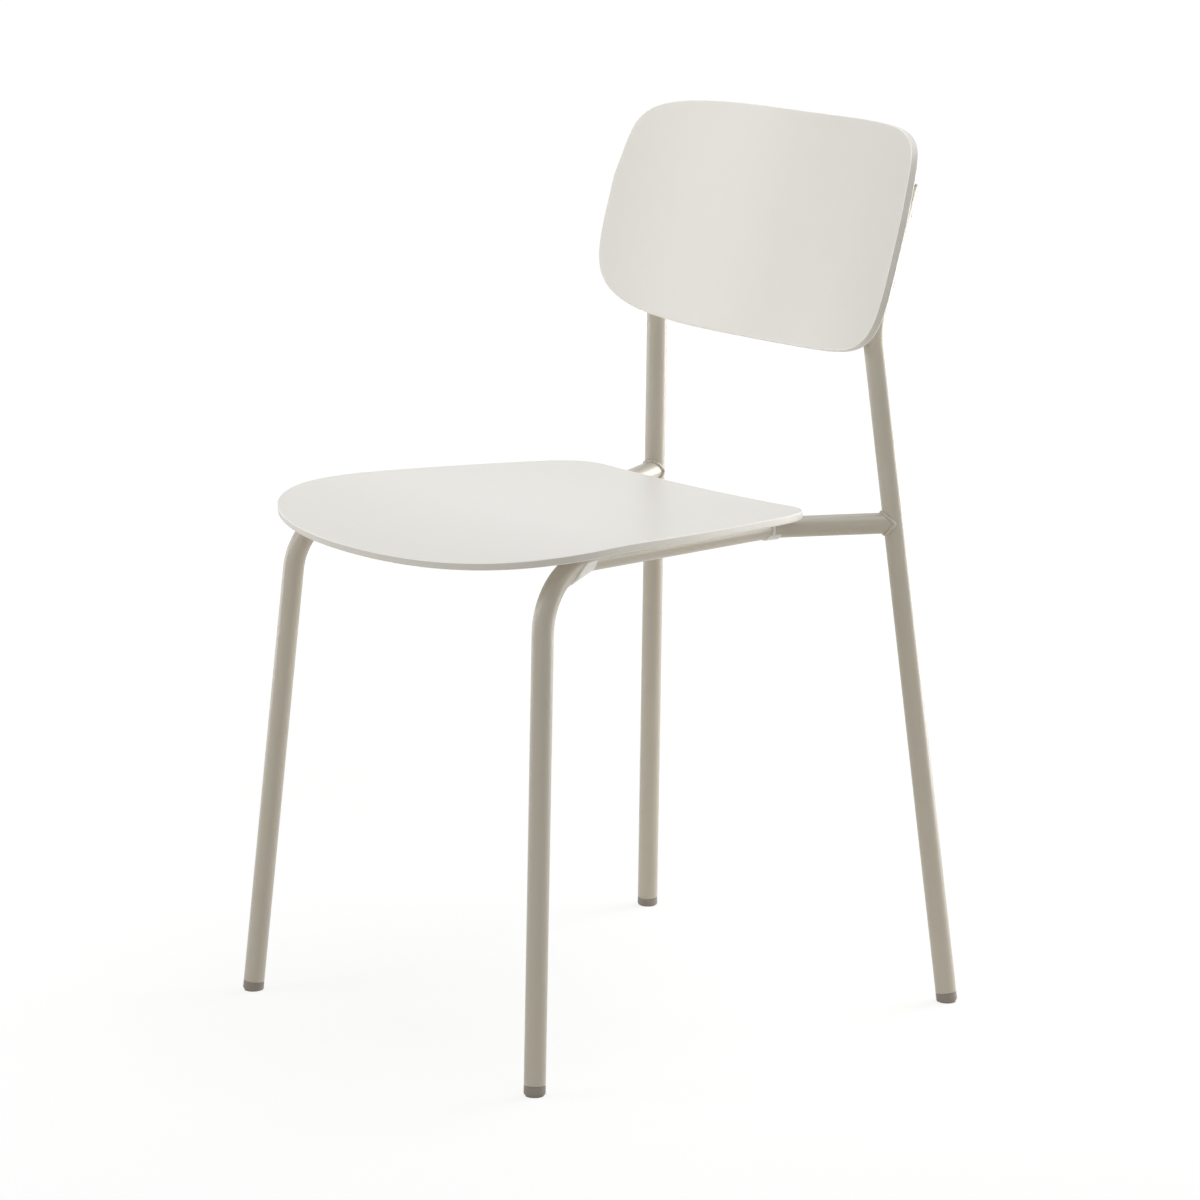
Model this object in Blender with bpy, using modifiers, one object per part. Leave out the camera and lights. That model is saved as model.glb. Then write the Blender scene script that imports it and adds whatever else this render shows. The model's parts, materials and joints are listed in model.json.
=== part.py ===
"""Stacking chair: a bent tube frame with a moulded plywood seat and back.

The chair faces -Y, its own left side is +X, and it stands on Z = 0. Sizes are in metres.
"""

import math

import bmesh
import bpy
from mathutils import Matrix, Vector

# Tubes
TUBE_RADIUS = 0.0095
TUBE_WALL = 0.0016
TUBE_BEVEL_RESOLUTION = 4
TUBE_SIDES = 4 + 2 * TUBE_BEVEL_RESOLUTION
CROSSBAR_RADIUS = 0.0065
CROSSBAR_WALL = 0.0015

# Side frame: the front leg bends back into the seat rail, which kinks out to the upright
FRONT_FOOT_X, FRONT_FOOT_Y = 0.210, -0.232
RAIL_FRONT_X, RAIL_FRONT_Y, RAIL_FRONT_Z = 0.1785, -0.196, 0.4510
KINK_X, KINK_Y = 0.118, 0.110
RAIL_REAR_Z = 0.440
FRONT_BEND_RADIUS = 0.060
KINK_BEND_RADIUS = 0.050

# Upright: the rear leg runs straight up past the seat, then bends back behind the back panel
REAR_FOOT_X, REAR_FOOT_Y = 0.216, 0.239
UPRIGHT_BEND_X, UPRIGHT_BEND_Y, UPRIGHT_BEND_Z = 0.151, 0.197, 0.6155
UPRIGHT_TOP_X, UPRIGHT_TOP_Y, UPRIGHT_TOP_Z = 0.155, 0.2347, 0.7414
UPRIGHT_BEND_RADIUS = 0.085

# Seat panel
SEAT_THICKNESS = 0.007
SEAT_FRONT_Y = -0.2635
SEAT_WIDEST_X, SEAT_WIDEST_Y = 0.210, -0.150
SEAT_SIDE_END_X, SEAT_SIDE_END_Y = 0.185, 0.040
SEAT_REAR_END_X, SEAT_REAR_END_Y = 0.131, 0.121
SEAT_SIDE_ANGLE = math.radians(12.3)
SEAT_FLATTER_THAN_RAIL = 0.015
SEAT_DISH_RADIUS = 4.5
SEAT_ROLL_START_Y = -0.102
SEAT_ROLL_DROP = 0.017
# How far each curve of the outline runs straight on from its ends
SEAT_FRONT_REACH, SEAT_SHOULDER_REACH = 0.1176, 0.085
SEAT_SIDE_REACH, SEAT_SIDE_END_REACH = 0.075, 0.050
SEAT_CORNER_REACH, SEAT_REAR_REACH = 0.039, 0.040

# Back panel
BACK_THICKNESS = 0.007
BACK_RADIUS = 0.432
BACK_HALF_WIDTH = 0.2093
BACK_ABOVE, BACK_BELOW = 0.0907, 0.1225
BACK_CENTRE_BELOW_TOP = 0.0357
BACK_TOP_TAPER = 0.062
BACK_STANDOFF = 0.0028
# Superellipse powers, across and up: higher is squarer
BACK_TOP_POWERS = (3.04, 6.3)
BACK_BOTTOM_POWERS = (4.8, 5.3)
BACK_GRID_POWER = 1.6

# Cross bars and seat fixings
BAR_PAST_PAD = 0.006
FIXING_X = 0.095
PLATE_THICKNESS = 0.0025
PLATE_WIDTH = 0.022
PLATE_BACK, PLATE_FORWARD = 0.008, 0.026
PLATE_CORNER = 0.004
SCREW_FROM_BAR = 0.016

# Back fixings, measured down the upright from its top
BACK_SCREW_DROPS = (0.089, 0.025)
SPACER_RADIUS = 0.008
SPACER_WRAP = 0.0057
PLUG_RADIUS, PLUG_LENGTH = 0.0052, 0.0032

# Screws and their threaded inserts
SCREW_RADIUS = 0.0024
SCREW_HEAD_RADIUS = 0.0046
SCREW_HEAD_HEIGHT = 0.0028
SCREW_POINT = 0.0006
SCREW_CROWN_RADIUS, SCREW_CROWN_HEIGHT, SCREW_CROWN_FALL = 0.0033, 0.0017, 0.0004
INSERT_RADIUS = 0.004
INSERT_LENGTH = 0.0046

# Plastic parts
GLIDE_HEIGHT = 0.009
GLIDE_CHAMFER = 0.0015
GLIDE_TREAD = 0.0008
GLIDE_STEM = 0.014
STEM_LEAD = 0.001
CAP_HEIGHT = 0.0015
CAP_EDGE = 0.0006
CAP_STEM = 0.008
FRONT_PAD_THICKNESS, FRONT_PAD_WIDER_THAN_TUBE = 0.0020, 0.0010
FRONT_PAD_START, FRONT_PAD_END = 0.005, 0.046
REAR_PAD_THICKNESS, REAR_PAD_WIDER_THAN_TUBE = 0.0012, 0.0004
REAR_PAD_LENGTH, REAR_PAD_AHEAD_OF_KINK = 0.016, 0.005
PAD_CUT_BEYOND = 0.020

# Welds
WELD_RADIUS = 0.0024
WELD_SINK_AROUND, WELD_SINK_AGAINST = 0.0018, 0.0012
RAIL_REACH = 0.025

# Fits
GAP = 0.0003
CURVED_GAP = 0.00045
PLATE_GAP = 0.0007
HOLE_GAP = 0.0004

LEFT, RIGHT = 1, -1
SIDE_NAMES = {LEFT: "left", RIGHT: "right"}
ARC_STEPS = 8
ROUND_STEPS = 12
SMALL_STEPS = 10
WELD_STEPS = 16
CUTTER_STEPS = 24
SEAT_DIVISIONS = 16
BACK_DIVISIONS = 16

for old in list(bpy.data.objects):
    bpy.data.objects.remove(old, do_unlink=True)
chair = bpy.data.collections.new("stacking_chair")
cutters = bpy.data.collections.new("cutters")
bpy.context.scene.collection.children.link(chair)
bpy.context.scene.collection.children.link(cutters)


# Materials

def material(name, colour, roughness, metallic=0.0):
    made = bpy.data.materials.new(name)
    made.use_nodes = True
    shader = made.node_tree.nodes["Principled BSDF"]
    shader.inputs["Base Color"].default_value = (*colour, 1)
    shader.inputs["Roughness"].default_value = roughness
    shader.inputs["Metallic"].default_value = metallic
    return made


frame_paint = material("frame_paint", (0.56, 0.53, 0.47), 0.42)
panel_lacquer = material("panel_lacquer", (0.80, 0.79, 0.74), 0.50)
cap_plastic = material("cap_plastic", (0.56, 0.53, 0.47), 0.50)
glide_plastic = material("glide_plastic", (0.30, 0.27, 0.24), 0.55)
pad_plastic = material("pad_plastic", (0.86, 0.86, 0.84), 0.40)
zinc_plate = material("zinc_plate", (0.62, 0.62, 0.60), 0.35, 1.0)


# Helpers that make and place objects

def keep(obj, finish, smooth=True):
    """Puts a finished sub-part in the chair's collection, with its material."""
    for home in list(obj.users_collection):
        home.objects.unlink(obj)
    chair.objects.link(obj)
    obj.data.materials.clear()
    obj.data.materials.append(finish)
    if smooth:
        obj.data.shade_smooth()
        obj.data.set_sharp_from_angle(angle=math.radians(35))
    return obj


def as_cutter(obj):
    """Hides an object that only shapes others."""
    for home in list(obj.users_collection):
        home.objects.unlink(obj)
    cutters.objects.link(obj)
    obj.hide_render = True
    obj.display_type = "WIRE"
    return obj


def cut(obj, cutter, operation="DIFFERENCE", solver="EXACT"):
    step = obj.modifiers.new("cut", "BOOLEAN")
    step.operation = operation
    step.solver = solver
    step.object = cutter


def along(direction, origin):
    """A matrix that turns +Z to the direction and moves to the origin."""
    turn = Vector(direction).to_track_quat("Z", "Y").to_matrix().to_4x4()
    return Matrix.Translation(origin) @ turn


def rod(name, start, end, radius, sides=ROUND_STEPS):
    """A plain closed cylinder between two points."""
    start, end = Vector(start), Vector(end)
    bpy.ops.mesh.primitive_cylinder_add(vertices=sides, radius=radius, depth=(end - start).length)
    made = bpy.context.object
    made.name = name
    made.matrix_world = along(end - start, (start + end) / 2)
    return made


def turned(name, profile, matrix, closed=False, steps=ROUND_STEPS):
    """A solid of revolution about local Z. The profile of (radius, height) runs down its outer side."""
    mesh = bpy.data.meshes.new(name)
    count = len(profile)
    edges = [(i, (i + 1) % count) for i in range(count if closed else count - 1)]
    mesh.from_pydata([(radius, 0, height) for radius, height in profile], edges, [])
    made = bpy.data.objects.new(name, mesh)
    bpy.context.scene.collection.objects.link(made)
    made.matrix_world = matrix
    screw = made.modifiers.new("turn", "SCREW")
    screw.steps = screw.render_steps = steps
    screw.use_merge_vertices = True
    screw.merge_threshold = 0.00001
    return made


def swept(name, path, radius, caps=True, closed=False, resolution=TUBE_BEVEL_RESOLUTION):
    """A round bar along a path, as a mesh."""
    curve = bpy.data.curves.new(name, "CURVE")
    curve.dimensions = "3D"
    curve.bevel_depth = radius
    curve.bevel_resolution = resolution
    curve.use_fill_caps = caps
    spline = curve.splines.new("POLY")
    spline.points.add(len(path) - 1)
    for point, place in zip(spline.points, path):
        point.co = (*place, 1)
    spline.use_cyclic_u = closed
    guide = bpy.data.objects.new(name + "_guide", curve)
    bpy.context.scene.collection.objects.link(guide)
    bpy.context.view_layer.update()
    evaluated = guide.evaluated_get(bpy.context.evaluated_depsgraph_get())
    mesh = bpy.data.meshes.new_from_object(evaluated)
    bpy.data.objects.remove(guide, do_unlink=True)
    work = bmesh.new()
    work.from_mesh(mesh)
    bmesh.ops.remove_doubles(work, verts=work.verts, dist=0.00001)
    bmesh.ops.recalc_face_normals(work, faces=work.faces)
    work.to_mesh(mesh)
    work.free()
    made = bpy.data.objects.new(name, mesh)
    bpy.context.scene.collection.objects.link(made)
    return made


def hollow(obj, wall):
    """Gives an open swept skin its wall, inwards."""
    shell = obj.modifiers.new("wall", "SOLIDIFY")
    shell.thickness = wall
    shell.offset = -1
    shell.use_even_offset = True


def bore_radius():
    """The largest circle inside the faceted bore of a tube, less the fitting gap."""
    return (TUBE_RADIUS - TUBE_WALL) * math.cos(math.pi / TUBE_SIDES) - GAP


# Paths

def rounded(points, radii):
    """The line through the points, with an arc of the given radius at each inner point."""
    path = [points[0]]
    for before, corner, after, radius in zip(points, points[1:], points[2:], radii):
        back, ahead = (before - corner).normalized(), (after - corner).normalized()
        half = back.angle(ahead) / 2
        centre = corner + (back + ahead).normalized() * (radius / math.sin(half))
        start = corner + back * (radius / math.tan(half))
        end = corner + ahead * (radius / math.tan(half))
        turn_axis = (start - centre).cross(end - centre).normalized()
        turn = (start - centre).angle(end - centre)
        for step in range(ARC_STEPS + 1):
            spin = Matrix.Rotation(turn * step / ARC_STEPS, 3, turn_axis)
            path.append(centre + spin @ (start - centre))
    path.append(points[-1])
    return path


def stretch(path, start, end):
    """The part of a path between two lengths along it."""
    kept, run = [], 0.0
    for a, b in zip(path, path[1:]):
        length = (b - a).length
        if run + length > start and run < end:
            low, high = max(start - run, 0) / length, min(end - run, length) / length
            kept += [a.lerp(b, low)] if not kept else []
            kept.append(a.lerp(b, high))
        run += length
    return kept


def length_to(path, index):
    return sum((b - a).length for a, b in zip(path[:index], path[1:index + 1]))


def lowered(path, offset):
    """A path moved towards its under side, at right angles to itself."""
    moved = []
    for i, place in enumerate(path):
        heading = (path[min(i + 1, len(path) - 1)] - path[max(i - 1, 0)]).normalized()
        down = Vector((0, 0, -1))
        moved.append(place + (down - heading * down.dot(heading)).normalized() * offset)
    return moved


def on_side(side, x, y, z):
    return Vector((side * x, y, z))


def upright_points(side):
    foot = on_side(side, REAR_FOOT_X, REAR_FOOT_Y, 0)
    bend = on_side(side, UPRIGHT_BEND_X, UPRIGHT_BEND_Y, UPRIGHT_BEND_Z)
    top = on_side(side, UPRIGHT_TOP_X, UPRIGHT_TOP_Y, UPRIGHT_TOP_Z)
    return foot, bend, top


def joint_point(side):
    """Where the rail's centre line meets the upright's, at the rail's rear height."""
    foot, bend, _ = upright_points(side)
    return foot.lerp(bend, RAIL_REAR_Z / UPRIGHT_BEND_Z)


def side_frame_points(side):
    return (
        on_side(side, FRONT_FOOT_X, FRONT_FOOT_Y, 0),
        on_side(side, RAIL_FRONT_X, RAIL_FRONT_Y, RAIL_FRONT_Z),
        on_side(side, KINK_X, KINK_Y, RAIL_REAR_Z),
        joint_point(side),
    )


def from_floor(points, length):
    """The same points, with the first one moved up its leg by a length."""
    first, second = points[0], points[1]
    return [first + (second - first).normalized() * length, *points[1:]]


def side_frame_path(side, lift=0.0):
    points = from_floor(side_frame_points(side), lift) if lift else list(side_frame_points(side))
    return rounded(points, (FRONT_BEND_RADIUS, KINK_BEND_RADIUS))


def rail_at(side, y):
    """The straight rail's centre line at a distance back."""
    _, front, kink, _ = side_frame_points(side)
    return front.lerp(kink, (y - RAIL_FRONT_Y) / (KINK_Y - RAIL_FRONT_Y))


def pad_lengths(path):
    """Where the front and rear pads start and end along the side frame's path."""
    bend_middle = length_to(path, 1 + ARC_STEPS // 2)
    rear_middle = length_to(path, 2 + ARC_STEPS + ARC_STEPS // 2) - REAR_PAD_AHEAD_OF_KINK
    front = bend_middle + FRONT_PAD_START, bend_middle + FRONT_PAD_END
    rear = rear_middle - REAR_PAD_LENGTH / 2, rear_middle + REAR_PAD_LENGTH / 2
    return front, rear


def bar_places():
    """How far back the cross bars lie: their welds clear the front pads and the rear pads."""
    path = side_frame_path(LEFT)
    (_, front_end), (rear_start, _) = pad_lengths(path)
    reach = CROSSBAR_RADIUS + WELD_RADIUS + BAR_PAST_PAD
    return stretch(path, 0, front_end)[-1].y + reach, stretch(path, 0, rear_start)[-1].y - reach


FRONT_BAR_Y, REAR_BAR_Y = bar_places()


# Seat surface: a plane that slopes back, dished across and rolled down at the front

RAIL_SLOPE = (RAIL_FRONT_Z - RAIL_REAR_Z) / (KINK_Y - RAIL_FRONT_Y)
SEAT_SLOPE = RAIL_SLOPE - SEAT_FLATTER_THAN_RAIL


def seat_shape(x, y):
    dish = x * x / (2 * SEAT_DISH_RADIUS)
    past = max(0.0, SEAT_ROLL_START_Y - y) / (SEAT_ROLL_START_Y - SEAT_FRONT_Y)
    return dish - SEAT_SLOPE * y - SEAT_ROLL_DROP * past * past


def rest_height():
    """How far the seat's shape is raised so that its under side just clears the rails."""
    path = side_frame_path(LEFT)
    rails = [p for p in path if SEAT_FRONT_Y < p.y < SEAT_REAR_END_Y and p.z > RAIL_REAR_Z - TUBE_RADIUS]
    tops = [p.z + TUBE_RADIUS - seat_shape(p.x, p.y) for p in rails]
    return max(tops) + CURVED_GAP + SEAT_THICKNESS


SEAT_RISE = rest_height()


def seat_point(x, y):
    return Vector((x, y, SEAT_RISE + seat_shape(x, y)))


def seat_normal(x, y):
    step = 0.001
    across = seat_point(x + step, y) - seat_point(x - step, y)
    back = seat_point(x, y + step) - seat_point(x, y - step)
    return across.cross(back).normalized()


def bezier(a, b, c, d, t):
    s = 1 - t
    return a * s ** 3 + b * 3 * s * s * t + c * 3 * s * t * t + d * t ** 3


def seat_edge_segments():
    """Half the seat's outline, from the middle of the front to the middle of the rear edge."""
    front, rear = Vector((0, SEAT_FRONT_Y)), Vector((0, SEAT_REAR_END_Y))
    widest = Vector((SEAT_WIDEST_X, SEAT_WIDEST_Y))
    side_end = Vector((SEAT_SIDE_END_X, SEAT_SIDE_END_Y))
    rear_end = Vector((SEAT_REAR_END_X, SEAT_REAR_END_Y))
    side_way = Vector((-math.sin(SEAT_SIDE_ANGLE), math.cos(SEAT_SIDE_ANGLE)))
    out, back = Vector((1, 0)), Vector((0, 1))
    side_before = side_end - side_way * SEAT_SIDE_END_REACH
    side_after = side_end + side_way * SEAT_CORNER_REACH
    return (
        (front, front + out * SEAT_FRONT_REACH, widest - back * SEAT_SHOULDER_REACH, widest),
        (widest, widest + back * SEAT_SIDE_REACH, side_before, side_end),
        (side_end, side_after, rear_end + out * SEAT_CORNER_REACH, rear_end),
        (rear_end, rear_end - out * SEAT_REAR_REACH, rear + out * SEAT_REAR_REACH, rear),
    )


def square_walk(u, v):
    """How far round the right half of a square a direction points, in quarters: 0 front, 4 rear."""
    reach = max(abs(u), abs(v))
    u, v = abs(u) / reach, v / reach
    if v <= -1:
        return u
    return 1 + (v + 1) if u >= 1 else 4 - u


def seat_plan(u, v):
    """Maps a square grid onto the seat's outline."""
    reach = max(abs(u), abs(v))
    middle = Vector((0, (SEAT_FRONT_Y + SEAT_REAR_END_Y) / 2))
    if reach < 1e-6:
        return middle
    walk = square_walk(u, v)
    segments = seat_edge_segments()
    part = min(int(walk), len(segments) - 1)
    edge = bezier(*segments[part], walk - part)
    edge.x = math.copysign(edge.x, u)
    return middle.lerp(edge, reach)


def sheet(name, divisions, place, thickness):
    """A square grid laid on a surface, then thickened below it."""
    mesh = bpy.data.meshes.new(name)
    work = bmesh.new()
    bmesh.ops.create_grid(work, x_segments=divisions, y_segments=divisions, size=1)
    for vert in work.verts:
        vert.co = place(vert.co.x, vert.co.y)
    bmesh.ops.recalc_face_normals(work, faces=work.faces)
    work.to_mesh(mesh)
    work.free()
    made = bpy.data.objects.new(name, mesh)
    bpy.context.scene.collection.objects.link(made)
    shell = made.modifiers.new("thickness", "SOLIDIFY")
    shell.thickness = thickness
    shell.use_even_offset = True
    return made, shell


# Back panel: part of a cylinder that leans back with the uprights

_, BEND, TOP = upright_points(LEFT)
LEAN = math.atan2(TOP.y - BEND.y, TOP.z - BEND.z)
BACK_UP = Vector((0, math.sin(LEAN), math.cos(LEAN)))
BACK_OUT = Vector((0, math.cos(LEAN), -math.sin(LEAN)))


def back_middle():
    """The middle of the front face: the panel's curve clears both uprights by the standoff."""
    tube = TOP + (BEND - TOP) * (BACK_CENTRE_BELOW_TOP / (TOP.z - BEND.z))
    reach = BACK_RADIUS + BACK_THICKNESS + BACK_STANDOFF + TUBE_RADIUS
    depth = math.sqrt(reach * reach - tube.x * tube.x)
    return Vector((0, tube.y, tube.z)) + BACK_OUT * (BACK_RADIUS - depth)


BACK_MIDDLE = back_middle()
BACK_AXIS = BACK_MIDDLE - BACK_OUT * BACK_RADIUS


def back_point(across, up):
    angle = across / BACK_RADIUS
    out = Vector((math.sin(angle), 0, 0)) + BACK_OUT * math.cos(angle)
    return BACK_AXIS + BACK_UP * up + out * BACK_RADIUS


def signed_power(value, power):
    return math.copysign(abs(value) ** power, value)


def rounded_square(u, v, power_across, power_up):
    """Maps the square's rim to a rounded rectangle of the same reach, by a superellipse."""
    reach = max(abs(u), abs(v))
    if reach < 1e-6:
        return 0.0, 0.0
    angle = math.atan2(signed_power(v / reach, BACK_GRID_POWER), signed_power(u / reach, BACK_GRID_POWER))
    across = signed_power(math.cos(angle), 2 / power_across)
    up = signed_power(math.sin(angle), 2 / power_up)
    return across * reach, up * reach


def back_plan(u, v):
    top_half = v > 0
    across, up = rounded_square(u, v, *(BACK_TOP_POWERS if top_half else BACK_BOTTOM_POWERS))
    taper = 1 - BACK_TOP_TAPER * up if top_half else 1
    return back_point(across * BACK_HALF_WIDTH * taper, up * (BACK_ABOVE if top_half else BACK_BELOW))


def radial(place):
    """The direction straight out of the back panel's curve through a point."""
    away = place - BACK_AXIS
    return (away - BACK_UP * away.dot(BACK_UP)).normalized()


# Frame

def make_side_frame(side):
    name = f"side_frame_{SIDE_NAMES[side]}"
    tube = swept(name, side_frame_path(side, GLIDE_HEIGHT + GAP), TUBE_RADIUS, caps=False)
    hollow(tube, TUBE_WALL)
    foot, bend, _ = upright_points(side)
    cut(tube, as_cutter(rod(name + "_cope", foot, bend, TUBE_RADIUS + HOLE_GAP, CUTTER_STEPS)))
    keep(tube, frame_paint)


def make_upright(side):
    name = f"upright_{SIDE_NAMES[side]}"
    points = from_floor(upright_points(side), GLIDE_HEIGHT + GAP)
    tube = swept(name, rounded(points, (UPRIGHT_BEND_RADIUS,)), TUBE_RADIUS, caps=False)
    hollow(tube, TUBE_WALL)
    for number, drop in enumerate(BACK_SCREW_DROPS, 1):
        centre, out = back_fixing(side, drop)
        front, rear = centre - out * TUBE_RADIUS * 2, centre + out * TUBE_RADIUS * 2
        drill = rod(f"{name}_drill_{number}", front, centre, SCREW_RADIUS + HOLE_GAP, SMALL_STEPS)
        access = rod(f"{name}_access_{number}", centre, rear, PLUG_RADIUS + HOLE_GAP)
        cut(tube, as_cutter(drill))
        cut(tube, as_cutter(access))
    keep(tube, frame_paint)


def bar_height(y):
    """The cross bar's centre: under the fixing plates, which lie under the sloping seat."""
    depth = SEAT_THICKNESS + PLATE_GAP + PLATE_THICKNESS + CURVED_GAP + CROSSBAR_RADIUS
    return seat_point(FIXING_X, y).z - depth / seat_normal(FIXING_X, y).z


def bar_ends(y):
    return [Vector((rail_at(side, y).x, y, bar_height(y))) for side in (LEFT, RIGHT)]


def make_crossbar(name, y):
    bar = swept(name, bar_ends(y), CROSSBAR_RADIUS, caps=False)
    hollow(bar, CROSSBAR_WALL)
    for side in (LEFT, RIGHT):
        rail = rail_at(side, y - RAIL_REACH), rail_at(side, y + RAIL_REACH)
        cut(bar, as_cutter(rod(f"{name}_cope_{side}", *rail, TUBE_RADIUS + HOLE_GAP, CUTTER_STEPS)))
    keep(bar, frame_paint)


def first_touch(start, heading, axis_point, axis, radius):
    """How far along a ray it first meets a cylinder, or passes nearest to it."""
    from_axis = start - axis_point
    from_axis -= axis * from_axis.dot(axis)
    across = heading - axis * heading.dot(axis)
    speed, closing = across.length_squared, from_axis.dot(across)
    room = closing * closing - speed * (from_axis.length_squared - radius * radius)
    return (-closing - math.sqrt(max(room, 0.0))) / speed


def weld_ring(name, through, through_radius, incoming, incoming_radius):
    """A bead round the joint where an incoming tube meets the side of another, clear of both.

    Each tube is the two ends of its centre line, and the incoming one ends inside the other.
    """
    axis, heading = (through[1] - through[0]).normalized(), (incoming[1] - incoming[0]).normalized()
    side_way = axis.cross(heading).normalized()
    up_way = heading.cross(side_way)
    back_off = incoming[1] - heading * through_radius * 4
    around = incoming_radius + WELD_RADIUS - WELD_SINK_AROUND
    against = through_radius + WELD_RADIUS - WELD_SINK_AGAINST
    ring = []
    for step in range(WELD_STEPS):
        angle = 2 * math.pi * step / WELD_STEPS
        start = back_off + (side_way * math.cos(angle) + up_way * math.sin(angle)) * around
        ring.append(start + heading * first_touch(start, heading, through[0], axis, against))
    bead = swept(name, ring, WELD_RADIUS, caps=False, closed=True, resolution=1)
    past = incoming[1] + heading * WELD_RADIUS * 2
    cut(bead, as_cutter(rod(name + "_through", *through, through_radius + HOLE_GAP, CUTTER_STEPS)))
    cut(bead, as_cutter(rod(name + "_in", incoming[0], past, incoming_radius + HOLE_GAP, CUTTER_STEPS)))
    keep(bead, frame_paint)


def make_welds():
    for side in (LEFT, RIGHT):
        foot, bend, _ = upright_points(side)
        rail_end = (side_frame_points(side)[2], joint_point(side))
        weld_ring(f"rail_weld_{SIDE_NAMES[side]}", (foot, bend), TUBE_RADIUS, rail_end, TUBE_RADIUS)
        for name, y in (("front", FRONT_BAR_Y), ("rear", REAR_BAR_Y)):
            rail = (rail_at(side, y - RAIL_REACH), rail_at(side, y + RAIL_REACH))
            bar = bar_ends(y) if side == RIGHT else bar_ends(y)[::-1]
            weld_ring(f"{name}_bar_weld_{SIDE_NAMES[side]}", rail, TUBE_RADIUS, bar, CROSSBAR_RADIUS)


# Seat, back and their fixings

def fixing_spots():
    for name, y in (("front", FRONT_BAR_Y), ("rear", REAR_BAR_Y)):
        for side in (LEFT, RIGHT):
            yield f"{name}_{SIDE_NAMES[side]}", side * FIXING_X, y


def seat_screw_matrix(x, bar_y):
    """At the seat's under side, over the screw, with +Z up into the seat."""
    y = bar_y - SCREW_FROM_BAR
    up = seat_normal(x, y)
    return along(up, seat_point(x, y) - up * SEAT_THICKNESS)


def back_fixing(side, drop):
    """A point on the upright's centre line and the direction straight back from the panel."""
    _, bend, top = upright_points(side)
    centre = top + (bend - top).normalized() * drop
    return centre, radial(centre)


def back_screw_matrix(side, drop):
    """At the panel's rear face, with +Z forwards into the panel."""
    centre, out = back_fixing(side, drop)
    distance = (centre - BACK_AXIS).dot(out)
    return along(-out, centre - out * (distance - BACK_RADIUS - BACK_THICKNESS))


def pocket(name, matrix):
    """The cutter for an insert's blind hole, from just outside a panel's face inwards."""
    start, end = matrix @ Vector((0, 0, -INSERT_RADIUS)), matrix @ Vector((0, 0, INSERT_LENGTH + GAP))
    return as_cutter(rod(name, start, end, INSERT_RADIUS + HOLE_GAP))


def make_insert(name, matrix):
    bore = SCREW_RADIUS + HOLE_GAP
    profile = [(INSERT_RADIUS, INSERT_LENGTH), (INSERT_RADIUS, GAP), (bore, GAP), (bore, INSERT_LENGTH)]
    keep(turned(name, profile, matrix, closed=True, steps=SMALL_STEPS), zinc_plate)


def make_screw(name, matrix, grip):
    """A button-head screw. Its shank starts inside the panel and its head sits below the grip."""
    tip, seating = INSERT_LENGTH - GAP, -grip
    crown = seating - SCREW_HEAD_HEIGHT
    profile = [
        (0, tip), (SCREW_RADIUS - SCREW_POINT, tip), (SCREW_RADIUS, tip - SCREW_POINT),
        (SCREW_RADIUS, seating), (SCREW_HEAD_RADIUS, seating),
        (SCREW_HEAD_RADIUS, crown + SCREW_CROWN_HEIGHT),
        (SCREW_CROWN_RADIUS, crown + SCREW_CROWN_FALL), (0, crown),
    ]
    keep(turned(name, profile, matrix, steps=SMALL_STEPS), zinc_plate)


def on_seat(u, v):
    return seat_point(*seat_plan(u, v))


def make_seat():
    seat, shell = sheet("seat_panel", SEAT_DIVISIONS, on_seat, SEAT_THICKNESS)
    shell.offset = -1
    for name, x, y in fixing_spots():
        cut(seat, pocket(f"seat_pocket_{name}", seat_screw_matrix(x, y)))
    keep(seat, panel_lacquer)


def make_back():
    back, shell = sheet("back_panel", BACK_DIVISIONS, back_plan, BACK_THICKNESS)
    facing = back.data.polygons[0].normal.dot(BACK_OUT)
    shell.offset = 1 if facing > 0 else -1
    for side in (LEFT, RIGHT):
        for number, drop in enumerate(BACK_SCREW_DROPS, 1):
            cut(back, pocket(f"back_pocket_{SIDE_NAMES[side]}_{number}", back_screw_matrix(side, drop)))
    keep(back, panel_lacquer)


def make_plate(name, x, bar_y):
    """A flat steel tab, welded on the cross bar and lying against the seat."""
    middle_y = bar_y + (PLATE_BACK - PLATE_FORWARD) / 2
    up = seat_normal(x, middle_y)
    centre = seat_point(x, middle_y) - up * (SEAT_THICKNESS + PLATE_GAP + PLATE_THICKNESS / 2)
    bpy.ops.mesh.primitive_cube_add(size=1)
    plate = bpy.context.object
    plate.name = f"fixing_plate_{name}"
    plate.data.transform(Matrix.Diagonal((PLATE_WIDTH, PLATE_BACK + PLATE_FORWARD, PLATE_THICKNESS, 1)))
    edge = plate.modifiers.new("corners", "BEVEL")
    edge.width = PLATE_CORNER
    edge.segments = 2
    edge.limit_method = "WEIGHT"
    weights = plate.data.attributes.new("bevel_weight_edge", "FLOAT", "EDGE")
    for item, side_edge in zip(weights.data, plate.data.edges):
        a, b = (plate.data.vertices[i].co for i in side_edge.vertices)
        item.value = 1.0 if abs(a.z - b.z) > PLATE_THICKNESS / 2 else 0.0
    tilt = Vector((0, 0, 1)).rotation_difference(up).to_matrix().to_4x4()
    plate.matrix_world = Matrix.Translation(centre) @ tilt
    hole = seat_screw_matrix(x, bar_y)
    start, end = (hole @ Vector((0, 0, reach)) for reach in (-PLATE_FORWARD, PLATE_FORWARD))
    cut(plate, as_cutter(rod(f"plate_drill_{name}", start, end, SCREW_RADIUS + HOLE_GAP, SMALL_STEPS)))
    keep(plate, frame_paint, smooth=False)


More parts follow.
